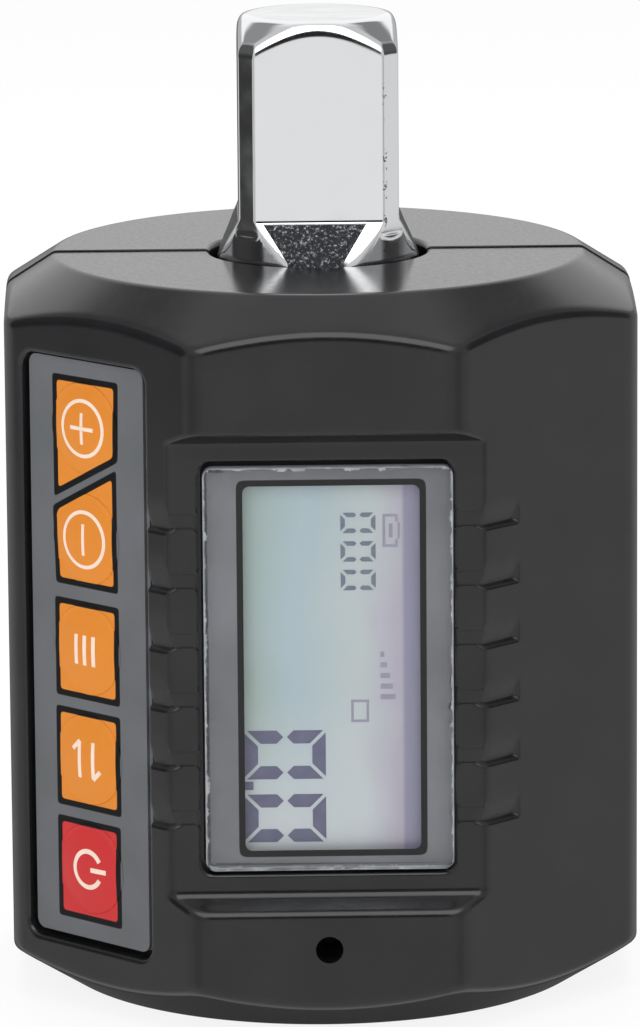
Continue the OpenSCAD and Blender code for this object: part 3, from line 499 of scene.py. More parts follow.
# The printed fields of the five keys: corners along the flat and up the housing
FIELD_CORNERS = (
    ((-5.15, 50.86), (1.71, 50.89), (1.6, 44.96), (-5.12, 41.55)),
    ((-5.29, 40.35), (1.4, 43.82), (1.45, 34.54), (-5.05, 34.54)),
    ((-5.2, 33.0), (1.5, 33.0), (1.5, 25.5), (-5.2, 25.5)),
    ((-5.25, 24.2), (1.5, 24.2), (1.5, 16.6), (-5.25, 16.6)),
    ((-5.25, 15.3), (1.4, 15.3), (1.4, 7.5), (-5.25, 7.5)),
)
FIELD_LINE = 0.5
FIELD_CORNER = 0.5
FIELD_SOFT = 0.06
RED_BELOW = 16.0


def printed_polyester():
    """Polyester film printed from behind: slate grey with a coloured, dark-edged field for
    each key, over the flat film and the domed keys alike."""
    material, tree, shader = finish_of("printed_polyester", "#5f6468", Roughness=0.34)
    shader.inputs["Specular IOR Level"].default_value = 0.2
    place = add(tree, "TexCoord").outputs["Object"]
    nearest = None
    for corners in FIELD_CORNERS:
        inside = None
        # The distance to a field is the largest of those to its four sides
        for here, there in zip(corners, corners[1:] + corners[:1]):
            run = np.subtract(there, here)
            out = np.array([-run[1], run[0]]) / np.hypot(*run)
            normal = (out[0] * PAD[0] + out[1] * PAD[1]) / MM
            reach = add(
                tree,
                "VectorMath",
                [(0, place)],
                operation="DOT_PRODUCT",
                i1=tuple(normal.tolist()),
            ).outputs["Value"]
            side = sum_of(tree, "SUBTRACT", reach, float(out @ np.array(here)))
            inside = (
                side
                if inside is None
                else sum_of(tree, "SMOOTH_MAX", inside, side, FIELD_CORNER)
            )
        nearest = inside if nearest is None else sum_of(tree, "MINIMUM", nearest, inside)
    half = FIELD_LINE / 2
    printed = span_of(tree, nearest, half, half - FIELD_SOFT)
    filled = span_of(tree, nearest, -half, -half - FIELD_SOFT)
    low = span_of(tree, along(tree, (0, 0, 1)), RED_BELOW, RED_BELOW - 0.1)
    ink = blend_of(tree, low, "#e1892e", "#cc3435")
    shade = span_of(tree, grain(tree, 7.0), 0.35, 0.65)
    slate = blend_of(tree, shade, "#626567", "#6a6b70")
    colour = blend_of(tree, printed, slate, "#08080a")
    colour = blend_of(tree, filled, colour, ink)
    paint(tree, shader, colour)
    bump_of(tree, shader, grain(tree, 0.5, detail=1.0), 0.004, 0.2)
    return material


ABS = moulded_abs()
CHROME = polished_chrome()
BALL_STEEL = plain_metal("ball_steel", "#d4d5d8", 0.08)
SPRING_STEEL = plain_metal("drawn_spring_steel", "#aeb1b5", 0.25)
ZINC = plain_metal("zinc_plated_screw", "#b4b6ba", 0.3)
NICKEL = plain_metal("nickel_plated_strip", "#c4c3bd", 0.22)
CAN = plain_metal("aluminium_can", "#b3b6bb", 0.35)
FOIL = plain_plastic("polyimide_foil", "#b9812c", "#c9933c", 0.25)
PVC = plain_plastic("pvc_sheath", "#a02a26", "#b03531", 0.4)
FOAM = plain_plastic("foam_tape", "#0c0c0d", "#121213", 0.85, 0.5)
WHITE_PLASTIC = plain_plastic("white_nylon", "#dcdbd4", "#e6e5df", 0.45)
SILICONE = plain_plastic("silicone_strip", "#d58a9f", "#dd98ab", 0.6)
LAMINATE = plain_plastic("glass_laminate", "#1f6b3a", "#277a45", 0.35, 3.0)
BLACK_LAMINATE = plain_plastic("black_laminate", "#1b1c1f", "#212226", 0.5, 3.0)
EPOXY = plain_plastic("moulded_epoxy", "#222327", "#2b2c30", 0.55, 0.6)
FILM = plain_plastic("clear_film", "#c3c6c9", "#cfd2d4", 0.3)
PRINT_WHITE = plain_plastic("white_ink", "#f6dcc8", "#fae2d1", 0.5)
SEGMENT_BIG = plain_plastic("display_segment", "#595a76", "#64657f", 0.3)
SEGMENT_SMALL = plain_plastic("small_display_segment", "#667080", "#6f798a", 0.3)
SEGMENT_FAINT = plain_plastic("faint_display_segment", "#8f8ea1", "#9796a9", 0.3)
SCREEN_PRINT = screen_print()
DISPLAY_GLASS = display_glass()
ACRYLIC = clear_acrylic()
POLYESTER = printed_polyester()


# Meshes


def mesh_piece(name, points, faces):
    """A smooth-shaded object from points in millimetres and lists of corner numbers."""
    mesh = bpy.data.meshes.new(name)
    mesh.from_pydata((np.asarray(points, float) * MM).tolist(), [], faces)
    mesh.shade_smooth()
    return put(name, mesh)


def keep(piece, material, body, slot, *nodes):
    """Gives a piece its material and body, and hides the CAD nodes it stands for. The slot
    is not used.
    """
    piece.data.materials.clear()
    piece.data.materials.append(material)
    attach(piece, body)
    if nodes:
        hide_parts(*nodes)
    return piece


def crease(piece, angle=30):
    """Smooth shading, but sharp where faces meet at more than the angle."""
    piece.data.shade_smooth()
    piece.data.set_sharp_from_angle(angle=np.radians(angle))


def strips(count, around, closed=False):
    """Quads between rings of points that follow one another in a list, and from the last
    ring to the first if closed."""
    start = np.arange(count if closed else count - 1)[:, None]
    low, high = start * around, (start + 1) % count * around
    here = np.arange(around)
    ahead = (here + 1) % around
    quads = np.stack([low + here, low + ahead, high + ahead, high + here], -1)
    return quads.reshape(-1, 4).tolist()


def ring_mesh(name, rings):
    """A closed skin through rings of points, from a bottom pole to a top pole. Each ring
    has as many points, in the same order round the axis."""
    count, around = rings.shape[:2]
    bottom, top = count * around, count * around + 1
    last = (count - 1) * around
    low = [[bottom, (j + 1) % around, j] for j in range(around)]
    high = [[top, last + j, last + (j + 1) % around] for j in range(around)]
    points = np.vstack([rings.reshape(-1, 3), rings[0].mean(0), rings[-1].mean(0)])
    return mesh_piece(name, points, strips(count, around) + low + high)


# A coarse grid's spacing grows by this share of the way from a mark
GRADED_GROWTH = 0.3
GRADED_STEPS = 6001


def graded(low, high, coarse, marks):
    """Grid lines from low to high, coarse apart, and finer round each mark, which is a
    middle, a reach on both sides and a spacing. The spacing grows steadily away from it."""
    fine = np.linspace(low, high, GRADED_STEPS)
    spacing = np.full_like(fine, coarse)
    for middle, reach, step in marks:
        away = np.maximum(np.abs(fine - middle) - reach, 0)
        spacing = np.minimum(spacing, step + GRADED_GROWTH * away)
    density = 1 / spacing
    total = np.concatenate([[0], np.cumsum((density[1:] + density[:-1]) / 2)])
    total *= fine[1] - fine[0]
    lines = np.linspace(0, total[-1], int(np.ceil(total[-1])) + 1)
    return np.interp(lines, total, fine)


def smooth_max(a, b, width):
    """The larger of two values, blended where they differ by less than width."""
    return np.maximum(a, b) + np.maximum(width - np.abs(a - b), 0) ** 2 / (4 * width)


def smooth_min(a, b, width):
    """The smaller of two values, blended where they differ by less than width."""
    return -smooth_max(-a, -b, width)


def edge_width(radius, turn):
    """The blend width that rounds an edge, which turns by that angle, to about a radius."""
    return radius * np.tan(turn / 2) * np.sin(turn)


def lip(distance, radius):
    """How far a rounded lip falls away, at a distance from the border that it rounds."""
    near = np.clip(distance, 0, radius)
    return radius - np.sqrt(np.maximum(radius**2 - (radius - near) ** 2, 0))


def outline_distance(u, v, half, corner):
    """Signed distance to an outline with rounded corners, centred on zero."""
    du, dv = np.abs(u) - (half[0] - corner), np.abs(v) - (half[1] - corner)
    outside = np.hypot(np.maximum(du, 0), np.maximum(dv, 0))
    return outside + np.minimum(np.maximum(du, dv), 0) - corner


def surface(shape, start, direction, reach):
    """Points where shape turns positive along rays from start, by halving the interval."""
    low = np.zeros(start.shape[:-1])
    high = np.full_like(low, reach)
    for _ in range(30):
        middle = (low + high) / 2
        point = start + direction * middle[..., None]
        inside = shape(*np.moveaxis(point, -1, 0)) < 0
        low = np.where(inside, middle, low)
        high = np.where(inside, high, middle)
    return start + direction * ((low + high) / 2)[..., None]


def level_rays(shape, heights, turns, reach):
    """Rings of a form's points: level rays out of the axis, one ring for each height."""
    start = np.zeros((len(heights), len(turns), 3))
    start[..., 2] = heights[:, None]
    way = np.stack([np.cos(turns), np.sin(turns), np.zeros_like(turns)], -1)
    return surface(shape, start, np.broadcast_to(way, start.shape), reach)


def upright_rays(shape, radii, turns, middle, sense, reach):
    """Rings of a form's points: upright rays from a middle height, up for a sense of 1 and
    down for -1, one ring for each radius."""
    start = np.zeros((len(radii), len(turns), 3))
    start[..., 0] = radii[:, None] * np.cos(turns)
    start[..., 1] = radii[:, None] * np.sin(turns)
    start[..., 2] = middle
    way = np.broadcast_to(np.array([0.0, 0.0, sense]), start.shape)
    return surface(shape, start, way, reach)


# The housing's forms


# The soft edges' radii
UPRIGHT_R = 3.0
END_EDGE_R = 0.9
CONE_EDGE_R = 1.1
LEDGE_R = 0.9
# How far the form lies inside the solid: everywhere, on the lower ledge and on the
# recess's floor
INSET = 0.015
LEDGE_SHIFT = 0.2
FLOOR_SHIFT = 0.02
# About the turn from the flats into the recess's ledges
RECESS_TURN = np.radians(60)
# The front shell's top lies a little below the rear shell's
TOP_STEP = 0.13


def housing_distance(x, y, z, top=BODY_H):
    """The housing's outer form: eight flats, two end faces and two cones, with their edges
    rounded where the distances to two of them are blended."""
    turns = np.radians(np.arange(8) * 45)
    sides = [x * np.cos(a) + y * np.sin(a) - BODY_HALF for a in turns]
    shape = sides[0]
    for side in sides[1:]:
        shape = smooth_max(shape, side, edge_width(UPRIGHT_R, np.radians(45)))
    out = (np.hypot(x, y) - END_FACE_R) * np.sin(BEVEL_SLOPE)
    for rise in (z - top, -z):
        cone = out + rise * np.cos(BEVEL_SLOPE)
        cone = smooth_max(cone, rise, edge_width(END_EDGE_R, BEVEL_SLOPE))
        steep = np.pi / 2 - BEVEL_SLOPE
        shape = smooth_max(shape, cone, edge_width(CONE_EDGE_R, steep))
    return shape


def row_offset(z):
    """Height above the middle of the nearest row of grooves, and whether there is one."""
    first = GROOVE_MIDDLE - (GROOVE_COUNT - 1) / 2 * GROOVE_PITCH
    offset = (z - first + GROOVE_PITCH / 2) % GROOVE_PITCH - GROOVE_PITCH / 2
    return offset, np.abs(z - GROOVE_MIDDLE) < GROOVE_COUNT / 2 * GROOVE_PITCH


def groove_depth(s, z):
    """Depth of the six grip grooves on the slanting flats: a long slope down to the foot of
    a steep lower side, closed by an end wall, all with soft rims."""
    offset, inside = row_offset(z)
    slope = (GROOVE_W / 2 - offset) * GROOVE_DEPTH / (GROOVE_W - GROOVE_STEP)
    step = (GROOVE_W / 2 + offset) * GROOVE_DEPTH / GROOVE_STEP
    end = (s - GROOVE_END) * GROOVE_END_RISE
    at_foot, at_end, at_rim = GROOVE_BLENDS
    depth = smooth_min(smooth_min(slope, step, at_foot), end, at_end)
    return np.where(inside, smooth_max(depth, 0 * depth, at_rim), 0)


def band_depth(x, z):
    """Depth of the shallow bands between the grooves and the lens's pocket. The bands
    widen in small fillets at the pocket."""
    offset, inside = row_offset(z)
    near = np.clip(np.abs(x) - POCKET_HALF[0], 0, BAND_FILLET)
    widening = lip(near, BAND_FILLET)
    share = np.clip((BAND_HALF + widening - np.abs(offset)) / BAND_SLOPE, 0, 1)
    beside = np.abs(x) > POCKET_HALF[0] - 0.5
    return np.where(inside & beside, BAND_DEPTH * share, 0)


def common_lips(x, y, z):
    """The rounded rims along the parting line and round the shaft's two holes."""
    radius = np.hypot(x, y)
    rim = np.where(
        z > BODY_H / 2,
        lip(radius - TOP_HOLE_R, HOLE_LIP) * (z > BODY_H - 1),
        lip(radius - BOTTOM_HOLE_R, HOLE_LIP) * (z < 1),
    )
    return rim + lip(np.abs(y), PARTING_LIP)


def front_form(x, y, z):
    """The front shell's outer form, with the display recess, grooves and pockets' lips."""
    q = -y
    s = (q - np.abs(x)) / DIAGONAL
    forward = q > 0
    shape = housing_distance(x, y, z, BODY_H - TOP_STEP) + common_lips(x, y, z)
    pad = outline_distance(
        s - PAD_POCKET_MIDDLE[0],
        z - PAD_POCKET_MIDDLE[1],
        PAD_POCKET_HALF,
        PAD_POCKET_CORNER,
    )
    shape = shape + np.where(forward, groove_depth(s, z), 0)
    shape = shape + np.where(forward & (x < 0), lip(pad, PAD_LIP), 0)
    lens = outline_distance(x, z - GROOVE_MIDDLE, POCKET_HALF, POCKET_CORNER)
    floor = q - RECESS_FACE + band_depth(x, z) + lip(lens, LENS_LIP) + FLOOR_SHIFT
    slope = np.hypot(1, LEDGE_STEEPNESS)
    upper = (q - RECESS_FACE - (z - RECESS_HIGH) * LEDGE_STEEPNESS) / slope
    lower = (q - RECESS_FACE - (RECESS_LOW - z) * LEDGE_STEEPNESS) / slope + LEDGE_SHIFT
    ledge_turn = np.arctan(1 / LEDGE_STEEPNESS) + np.pi / 2
    radius = np.where(z < BODY_H / 2, LEDGE_R, LEDGE_R / 2)
    foot = edge_width(radius, np.pi - ledge_turn)
    recess = smooth_min(smooth_min(floor, upper, foot), lower, foot)
    return smooth_max(shape, recess, edge_width(radius, RECESS_TURN)) + INSET


def rear_form(x, y, z):
    """The rear shell's and the battery door's outer form, with the lips of their gaps."""
    shape = housing_distance(x, y, z) + common_lips(x, y, z)
    half = (DOOR_HIGH[0] + DOOR_GAP / 2, (DOOR_HIGH[2] - DOOR_LOW[2] + DOOR_GAP) / 2)
    middle = (DOOR_HIGH[2] + DOOR_LOW[2]) / 2
    outline = outline_distance(x, z - middle, half, DOOR_CORNER)
    gap = np.abs(outline) - DOOR_GAP / 2
    rims = lip(gap, DOOR_LIP)
    for height in CASE_SCREW_Z:
        hole = np.hypot(np.abs(x) - CASE_SCREW_X, z - height) - CASE_HOLE_R
        rims = rims + lip(hole, SCREW_LIP)
    rims = rims + lip(np.hypot(x, z - middle) - DOOR_HOLE_R, DOOR_LIP)
    return shape + np.where(y > 0, rims, 0) + INSET


# Where the two kinds of rays meet on the cones
JOIN_R = 23.0
# Rays end farther out than the housing, and than the drive
HOUSING_REACH = 40.0
DRIVE_REACH = 20.0


def form_mesh(name, shape, turns, heights, radii_low, radii_high):
    """A closed skin of a form: level rays between the two cones, and upright rays from the
    middle on to the end faces."""
    sides = level_rays(shape, heights, turns, HOUSING_REACH)
    low, high = (
        upright_rays(shape, radii, turns, BODY_H / 2, sense, HOUSING_REACH)
        for radii, sense in ((radii_low, -1.0), (radii_high, 1.0))
    )
    return ring_mesh(name, np.concatenate([low, sides, high[::-1]]))


def cone_height(radius):
    """How far inside the end face the cone lies at a radius."""
    return (radius - END_FACE_R) * np.tan(BEVEL_SLOPE)


def turn_of(x, q):
    """The turn about the axis of a point in front of it, in degrees."""
    return np.degrees(np.arctan2(x, q))


# Grid heights nearer than this to a given line make way for it
LINE_CLEARANCE = 0.12


def shell_form(name, shape, turn_marks, height_marks, middle_turn, lines=()):
    """The form of one half of the housing, finely divided where its edges and lips are.
    Lines are heights that the grid goes through exactly."""
    # A little more than half a turn has the marks, and the rest is plain
    half = graded(-92, 92, 2.4, turn_marks)
    back = np.linspace(92, 268, 45)[1:-1]
    turns = np.radians(np.concatenate([half, back]) + middle_turn)
    join = cone_height(JOIN_R)
    cones = [(join, 3.8, 0.17), (BODY_H - join, 3.8, 0.17)]
    heights = graded(join, BODY_H - join, 1.2, cones + height_marks)
    if len(lines):
        apart = np.abs(heights[:, None] - lines).min(1) > LINE_CLEARANCE
        heights = np.sort(np.concatenate([heights[apart], lines]))
    radii = [
        graded(2.0, JOIN_R, 1.5, [(hole, 0.5, 0.1), (END_FACE_R, 0.5, 0.14)])[:-1]
        for hole in (BOTTOM_HOLE_R, TOP_HOLE_R)
    ]
    return form_mesh(name, shape, turns, heights, *radii)


# Corners of the CAD's loose triangles that are nearer than this, in metres, are one
MERGE_M = 2e-7


def cut_to_form(node, form, name):
    """The CAD solid's mesh with its doubles merged, cut down to a form's soft skin."""
    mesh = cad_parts[node].data.copy()
    merged = bmesh.new()
    merged.from_mesh(mesh)
    bmesh.ops.remove_doubles(merged, verts=merged.verts, dist=MERGE_M)
    merged.to_mesh(mesh)
    merged.free()
    if mesh.has_custom_normals:
        mesh.attributes.remove(mesh.attributes["custom_normal"])
    rough = put(name + "_uncut", mesh)
    cut = rough.modifiers.new("soften", "BOOLEAN")
    cut.operation = "INTERSECT"
    cut.solver = "MANIFOLD"
    cut.object = form
    bpy.context.view_layer.update()
    graph = bpy.context.evaluated_depsgraph_get()
    made = bpy.data.meshes.new_from_object(rough.evaluated_get(graph))
    bpy.data.objects.remove(rough)
    made.name = name
    piece = put(name, made)
    crease(piece)
    return piece


def both_sides(marks, middle=0.0):
    """The same marks on both sides of a middle."""
    return [(middle + side * at, *fine) for side in (-1, 1) for at, *fine in marks]


def front_marks():
    """Where the front form's grid is fine: turns from the front, and heights. Each mark
    is a middle, a reach and a spacing."""
    recess = turn_of(11.1, RECESS_FACE)
    groove_end = 44.5 - turn_of(GROOVE_END, BODY_HALF)
    turns = [(recess, 2.8, 0.24), (67.5, 1.2, 0.3), (90.0, 0.4, 0.12)]
    turns = both_sides(turns + [(groove_end, 1.0, 0.2)])
    for edge in (-1, 1):
        s = PAD_POCKET_MIDDLE[0] + edge * PAD_POCKET_HALF[0]
        turns.append((turn_of(s, BODY_HALF) - 45, 0.7, 0.15))
    heights = [(RECESS_LOW - 0.5, 1.0, 0.12), (RECESS_HIGH + 0.5, 1.0, 0.12)]
    heights += both_sides([(POCKET_HALF[1], 0.5, 0.08)], GROOVE_MIDDLE)
    heights += both_sides([(PAD_POCKET_HALF[1], 0.4, 0.1)], PAD_POCKET_MIDDLE[1])
    return turns, heights


def groove_lines():
    """Heights at each row of grooves: its lips, its foot and the edges of its band."""
    rows = (np.arange(GROOVE_COUNT) - (GROOVE_COUNT - 1) / 2) * GROOVE_PITCH
    return (GROOVE_MIDDLE + rows[:, None] + GROOVE_LINES).ravel()


def rear_marks():
    """Where the rear form's grid is fine, in the same way, with turns from the rear."""
    corner = BODY_HALF * DIAGONAL
    door = turn_of(DOOR_HIGH[0], corner - DOOR_HIGH[0])
    screw = turn_of(CASE_SCREW_X, corner - CASE_SCREW_X)
    turns = [(22.5, 1.2, 0.3), (67.5, 1.2, 0.3), (90.0, 0.4, 0.12)]
    turns = both_sides(turns + [(door, 1.0, 0.16), (screw, 9.0, 0.7)])
    turns.append((0, 6.5, 0.6))
    heights = [(DOOR_LOW[2], 0.5, 0.1), (DOOR_HIGH[2], 0.5, 0.1)]
    heights.append(((DOOR_LOW[2] + DOOR_HIGH[2]) / 2, 2.6, 0.3))
    heights += [(height, 3.2, 0.3) for height in CASE_SCREW_Z]
    return turns, heights


FRONT_TURN, REAR_TURN = -90.0, 90.0
front_skin = shell_form(
    "front_skin", front_form, *front_marks(), FRONT_TURN, groove_lines()
)
rear_skin = shell_form("rear_skin", rear_form, *rear_marks(), REAR_TURN)
front_shell = cut_to_form("front_shell", front_skin, "front_shell_moulding")
rear_shell = cut_to_form("rear_shell", rear_skin, "rear_shell_moulding")
door = cut_to_form("battery_door", rear_skin, "battery_door_moulding")
keep(front_shell, ABS, "housing", "housing_abs", "front_shell")
keep(rear_shell, ABS, "housing", "housing_abs", "rear_shell")
keep(door, ABS, "door", "housing_abs", "battery_door")
for skin in (front_skin, rear_skin):
    bpy.data.objects.remove(skin)


# The drive


# Radii of its upright edges, of the run-outs' top ends and of the bevel's two borders
DRIVE_EDGE_R = 0.22
RUNOUT_BLEND = 0.05
DRIVE_RIM_R = 1.8
DRIVE_END_R = 1.2
# The skin's foot, inside the housing, and how wide it opens there
DRIVE_FOOT = 57.0
DRIVE_WIDE_R = 12
# Where its two kinds of rays meet
DRIVE_JOIN_R = 6.3


def drive_form(x, y, z):
    """The male square: four flats and four corners that each run out below, the collar
    and the bevelled top, all with small soft edges."""
    narrow = edge_width(DRIVE_EDGE_R, np.radians(45))
    shape = np.hypot(x, y) - COLLAR_R
    for turn in np.arange(8) * 45:
        a = np.radians(turn)
        out = x * np.cos(a) + y * np.sin(a)
        square = turn % 90 == 0
        half = DRIVE_HALF if square else DRIVE_CORNER
        end = BODY_H + (FLAT_END_H if square else CORNER_END_H)
        lean = RUNOUT_ANGLE if square else CORNER_ANGLE
        runout = (out - half) * np.cos(lean) - (end - z) * np.sin(lean)
        face = smooth_min(out - half, runout, RUNOUT_BLEND)
        shape = smooth_max(shape, face, narrow)
    bevel = (np.hypot(x, y) - DRIVE_TOP_R) * np.sin(DRIVE_TOP_SLOPE)
    bevel = bevel + (z - DRIVE_TOP) * np.cos(DRIVE_TOP_SLOPE)
    bevel = smooth_max(bevel, z - DRIVE_TOP, edge_width(DRIVE_END_R, DRIVE_TOP_SLOPE))
    rim = edge_width(DRIVE_RIM_R, np.pi / 2 - DRIVE_TOP_SLOPE)
    return smooth_max(shape, bevel, rim) + INSET


def drive_skin():
    """A closed skin of the drive's form, wide open below the housing's top."""
    edges = np.concatenate([np.arange(39.4, 360, 90), np.arange(50.6, 360, 90)])
    marks = [(edge, 3.0, 0.7) for edge in edges]
    turns = np.radians(graded(0, 360, 2.5, marks)[:-1])
    join = DRIVE_TOP - (DRIVE_JOIN_R - DRIVE_TOP_R) * np.tan(DRIVE_TOP_SLOPE)
    marks = [(BODY_H + FLAT_END_H, 0.8, 0.1), (join, 3.0, 0.1)]
    heights = graded(DRIVE_FOOT, join, 0.7, marks)
    sides = level_rays(drive_form, heights, turns, DRIVE_REACH)
    radii = graded(0.5, DRIVE_JOIN_R, 0.6, [(DRIVE_TOP_R, 0.7, 0.08)])[:-1]
    middle = (BODY_H + DRIVE_TOP) / 2
    top = upright_rays(drive_form, radii, turns, middle, 1.0, DRIVE_REACH)
    out = DRIVE_WIDE_R * np.stack([np.cos(turns), np.sin(turns)], -1)
    wide = np.column_stack([out, np.full(len(turns), DRIVE_FOOT)])
    low = wide - np.array([0, 0, DRIVE_FOOT + 1])
    return ring_mesh("drive_skin", np.concatenate([[low, wide], sides, top[::-1]]))


skin = drive_skin()
drive = cut_to_form("drive_shaft", skin, "drive_shaft_plated")
keep(drive, CHROME, "housing", "chrome_steel", "drive_shaft")
bpy.data.objects.remove(skin)


# Flat and turned pieces on a plane


def on_plane(plane, points):
    """Points given along, up and out of a plane, as points of the frame."""
    return sum(points[..., i : i + 1] * plane[i] for i in range(3))


def prism(name, plane, outlines, low, high):
    """Flat shapes of one thickness: each outline's points are joined straight upwards."""
    points, faces = [], []
    for outline in outlines:
        corners = np.array(outline, float)
        run = np.roll(corners, -1, 0) - corners
        area = np.sum(corners[:, 0] * run[:, 1] - corners[:, 1] * run[:, 0])
        corners = corners if area > 0 else corners[::-1]
        n, first = len(corners), len(points)
        for height in (low, high):
            points.extend([(*corner, height) for corner in corners])
        faces.append([first + i for i in reversed(range(n))])
        faces.append([first + n + i for i in range(n)])
        faces += (first + np.array(strips(2, n))).tolist()
    piece = mesh_piece(name, on_plane(plane, np.array(points)), faces)
    crease(piece)
    return piece


def rounded_outline(half, corner, steps=10):
    """Points round an outline with rounded corners, anticlockwise."""
    points = []
    for turn, su, sv in ((0, 1, 1), (90, -1, 1), (180, -1, -1), (270, 1, -1)):
        a = np.radians(np.linspace(0, 90, steps)) + np.radians(turn)
        u = su * (half[0] - corner) + corner * np.cos(a)
        v = sv * (half[1] - corner) + corner * np.sin(a)
        points.append(np.stack([u, v], -1))
    return np.concatenate(points)


def soft_plate(name, plane, middle, half, corner, low, high, edge):
    """A plate with a rounded outline, whose rims are quarter rounds of the edge radius."""
    turns = np.radians(np.linspace(0, 90, 5))
    insets = edge * (1 - np.sin(turns))
    drops = edge * (1 - np.cos(turns))
    levels = [(i, low + d) for i, d in zip(insets, drops)]
    levels += [(i, high - d) for i, d in zip(insets[::-1], drops[::-1])]
    # A ring just inside each rim keeps the shading of the two faces flat
    levels = [(edge * 1.5, low)] + levels + [(edge * 1.5, high)]
    rings = []
    for inset, height in levels:
        ring = rounded_outline((half[0] - inset, half[1] - inset), corner - inset)
        flat = np.full((len(ring), 1), height)
        rings.append(np.hstack([ring + np.array(middle), flat]))
    count, around = len(rings), len(rings[0])
    faces = [list(reversed(range(around)))]
    faces.append([(count - 1) * around + i for i in range(around)])
    faces += strips(count, around)
    piece = mesh_piece(name, on_plane(plane, np.concatenate(rings)), faces)
    crease(piece, 40)
    return piece


lens = soft_plate(
    "display_lens_sheet",
    FRONT,
    SHEET_MIDDLE,
    SHEET_HALF,
    SHEET_CORNER,
    -LENS_HIGH[1],
    -LENS_LOW[1],
    SHEET_EDGE_R,
)
keep(lens, ACRYLIC, "housing", "clear_acrylic", "display_lens")


def window_mask():
    """The printed film behind the lens, cut out for the window."""
    outer = rounded_outline(SHEET_HALF, SHEET_CORNER) + np.array(SHEET_MIDDLE)
    inner = rounded_outline(WINDOW_HALF, WINDOW_CORNER) + np.array(WINDOW_MIDDLE)
    low, high = -MASK_HIGH[1], -MASK_LOW[1]
    rings = [
        np.column_stack([outline, np.full(len(outline), height)])
        for outline, height in ((outer, low), (outer, high), (inner, high), (inner, low))
    ]
    faces = strips(4, len(outer), closed=True)
    piece = mesh_piece("lens_mask_film", on_plane(FRONT, np.concatenate(rings)), faces)
    crease(piece)
    return piece


keep(window_mask(), SCREEN_PRINT, "housing", "mask_ink", "lens_mask")


def zero_outlines(low_x, high_x, low_z, high_z, thick, gap):
    """The six lit segments of a nought that reads sideways, each a line with mitred ends."""
    middle = (low_x + high_x) / 2
    g = gap * DIAGONAL
    shapes = []
    for x, sense in ((low_x, 1), (high_x, -1)):
        shapes.append(
            [
                (x, low_z + g),
                (x, high_z - g),
                (x + sense * thick, high_z - g - thick),
                (x + sense * thick, low_z + g + thick),
            ]
        )
        for z, up in ((low_z, 1), (high_z, -1)):
            shapes.append(
                [
                    (x + sense * g, z),
                    (middle - sense * (gap + thick / 2), z),
                    (middle - sense * gap, z + up * thick / 2),
                    (middle - sense * (gap + thick / 2), z + up * thick),
                    (x + sense * (g + thick), z + up * thick),
                ]
            )
    return shapes


def bar(low_x, high_x, low_z, high_z):
    """The outline of one plain bar."""
    return [(low_x, low_z), (high_x, low_z), (high_x, high_z), (low_x, high_z)]


SEGMENT_T = 0.03
big = zero_outlines(-6.45, -0.11, 19.9, 23.8, 1.05, 0.14)
big += zero_outlines(-6.45, -0.11, 14.84, 18.68, 1.05, 0.14)
big.append(bar(-6.45, -5.78, 19.06, 19.72))
small = []
for top in (41.1, 38.83, 36.56):
    small += zero_outlines(1.15, 3.88, top - 1.62, top, 0.36, 0.12)
# An open battery, a level of five bars and a small square
signs = [
    bar(4.42, 4.64, 38.35, 40.95),
    bar(4.64, 5.6, 40.75, 40.95),
    bar(4.64, 5.6, 38.35, 38.55),
    bar(5.4, 5.6, 38.55, 38.95),
    bar(5.4, 5.6, 40.35, 40.75),
    bar(5.6, 5.76, 39.0, 40.3),
    bar(4.9, 5.2, 39.1, 40.2),
]
signs += [bar(4.2, 4.5 + 0.22 * i, 29.6 - i * 0.85, 30.0 - i * 0.85) for i in range(5)]
signs += [
    bar(1.9, 2.1, 24.4, 26.2),
    bar(3.1, 3.3, 24.4, 26.2),
    bar(2.1, 3.1, 24.4, 24.6),
    bar(2.1, 3.1, 26.0, 26.2),
]
for name, outlines, ink in (
    ("display_big_digits", big, SEGMENT_BIG),
    ("display_small_digits", small, SEGMENT_SMALL),
    ("display_signs", signs, SEGMENT_FAINT),
):
    piece = prism(name, FRONT, outlines, PANEL_FACE, PANEL_FACE + SEGMENT_T)
    keep(piece, ink, "housing", "display_glass")


# Keys


CROWN_R = (KEY_R**2 + KEY_RISE**2) / (2 * KEY_RISE)
OVERLAY_BACK = PAD_FACE - OVERLAY_T
KEY_RIM = 0.06
# Profiles start this far from the axis, and a pole closes the rest
POLE_R = 0.2


def key_middle(number):
    """A key's middle along the flat and up the housing, counted from the top."""
    return (KEY_S, KEY_Z + (2 - number) * KEY_PITCH)


def crown(radius):
    """Height of a key's crown above its edge, at a radius."""
    return np.maximum(KEY_RISE - CROWN_R + np.sqrt(CROWN_R**2 - radius**2), 0)


def turned(name, plane, middle, profile, around=72):
    """A solid turned round an axis square to a plane. The profile runs from the axis at the
    back, outwards and over, to the axis in front."""
    turns = np.radians(np.arange(around) * 360 / around)
    radius, height = profile[:, 0][:, None], profile[:, 1][:, None]
    u = middle[0] + radius * np.cos(turns)
    v = middle[1] + radius * np.sin(turns)
    piece = ring_mesh(name, on_plane(plane, np.stack([u, v, height + 0 * turns], -1)))
    crease(piece, 40)
    return piece


def key_profile():
    """A key's section: a small embossed step at the rim under a crowned top."""
    outer = np.linspace(CAP_R - KEY_RIM, POLE_R, 30)
    rise = smooth_max(crown(outer), EMBOSS + 0 * outer, 0.04)
    top = np.stack([outer, PAD_FACE + rise], -1)
    foot = [(radius, OVERLAY_BACK) for radius in (POLE_R, CAP_R - 0.5, CAP_R)]
    return np.vstack([foot, [(CAP_R, PAD_FACE + EMBOSS - KEY_RIM)], top])


INK_T = 0.02


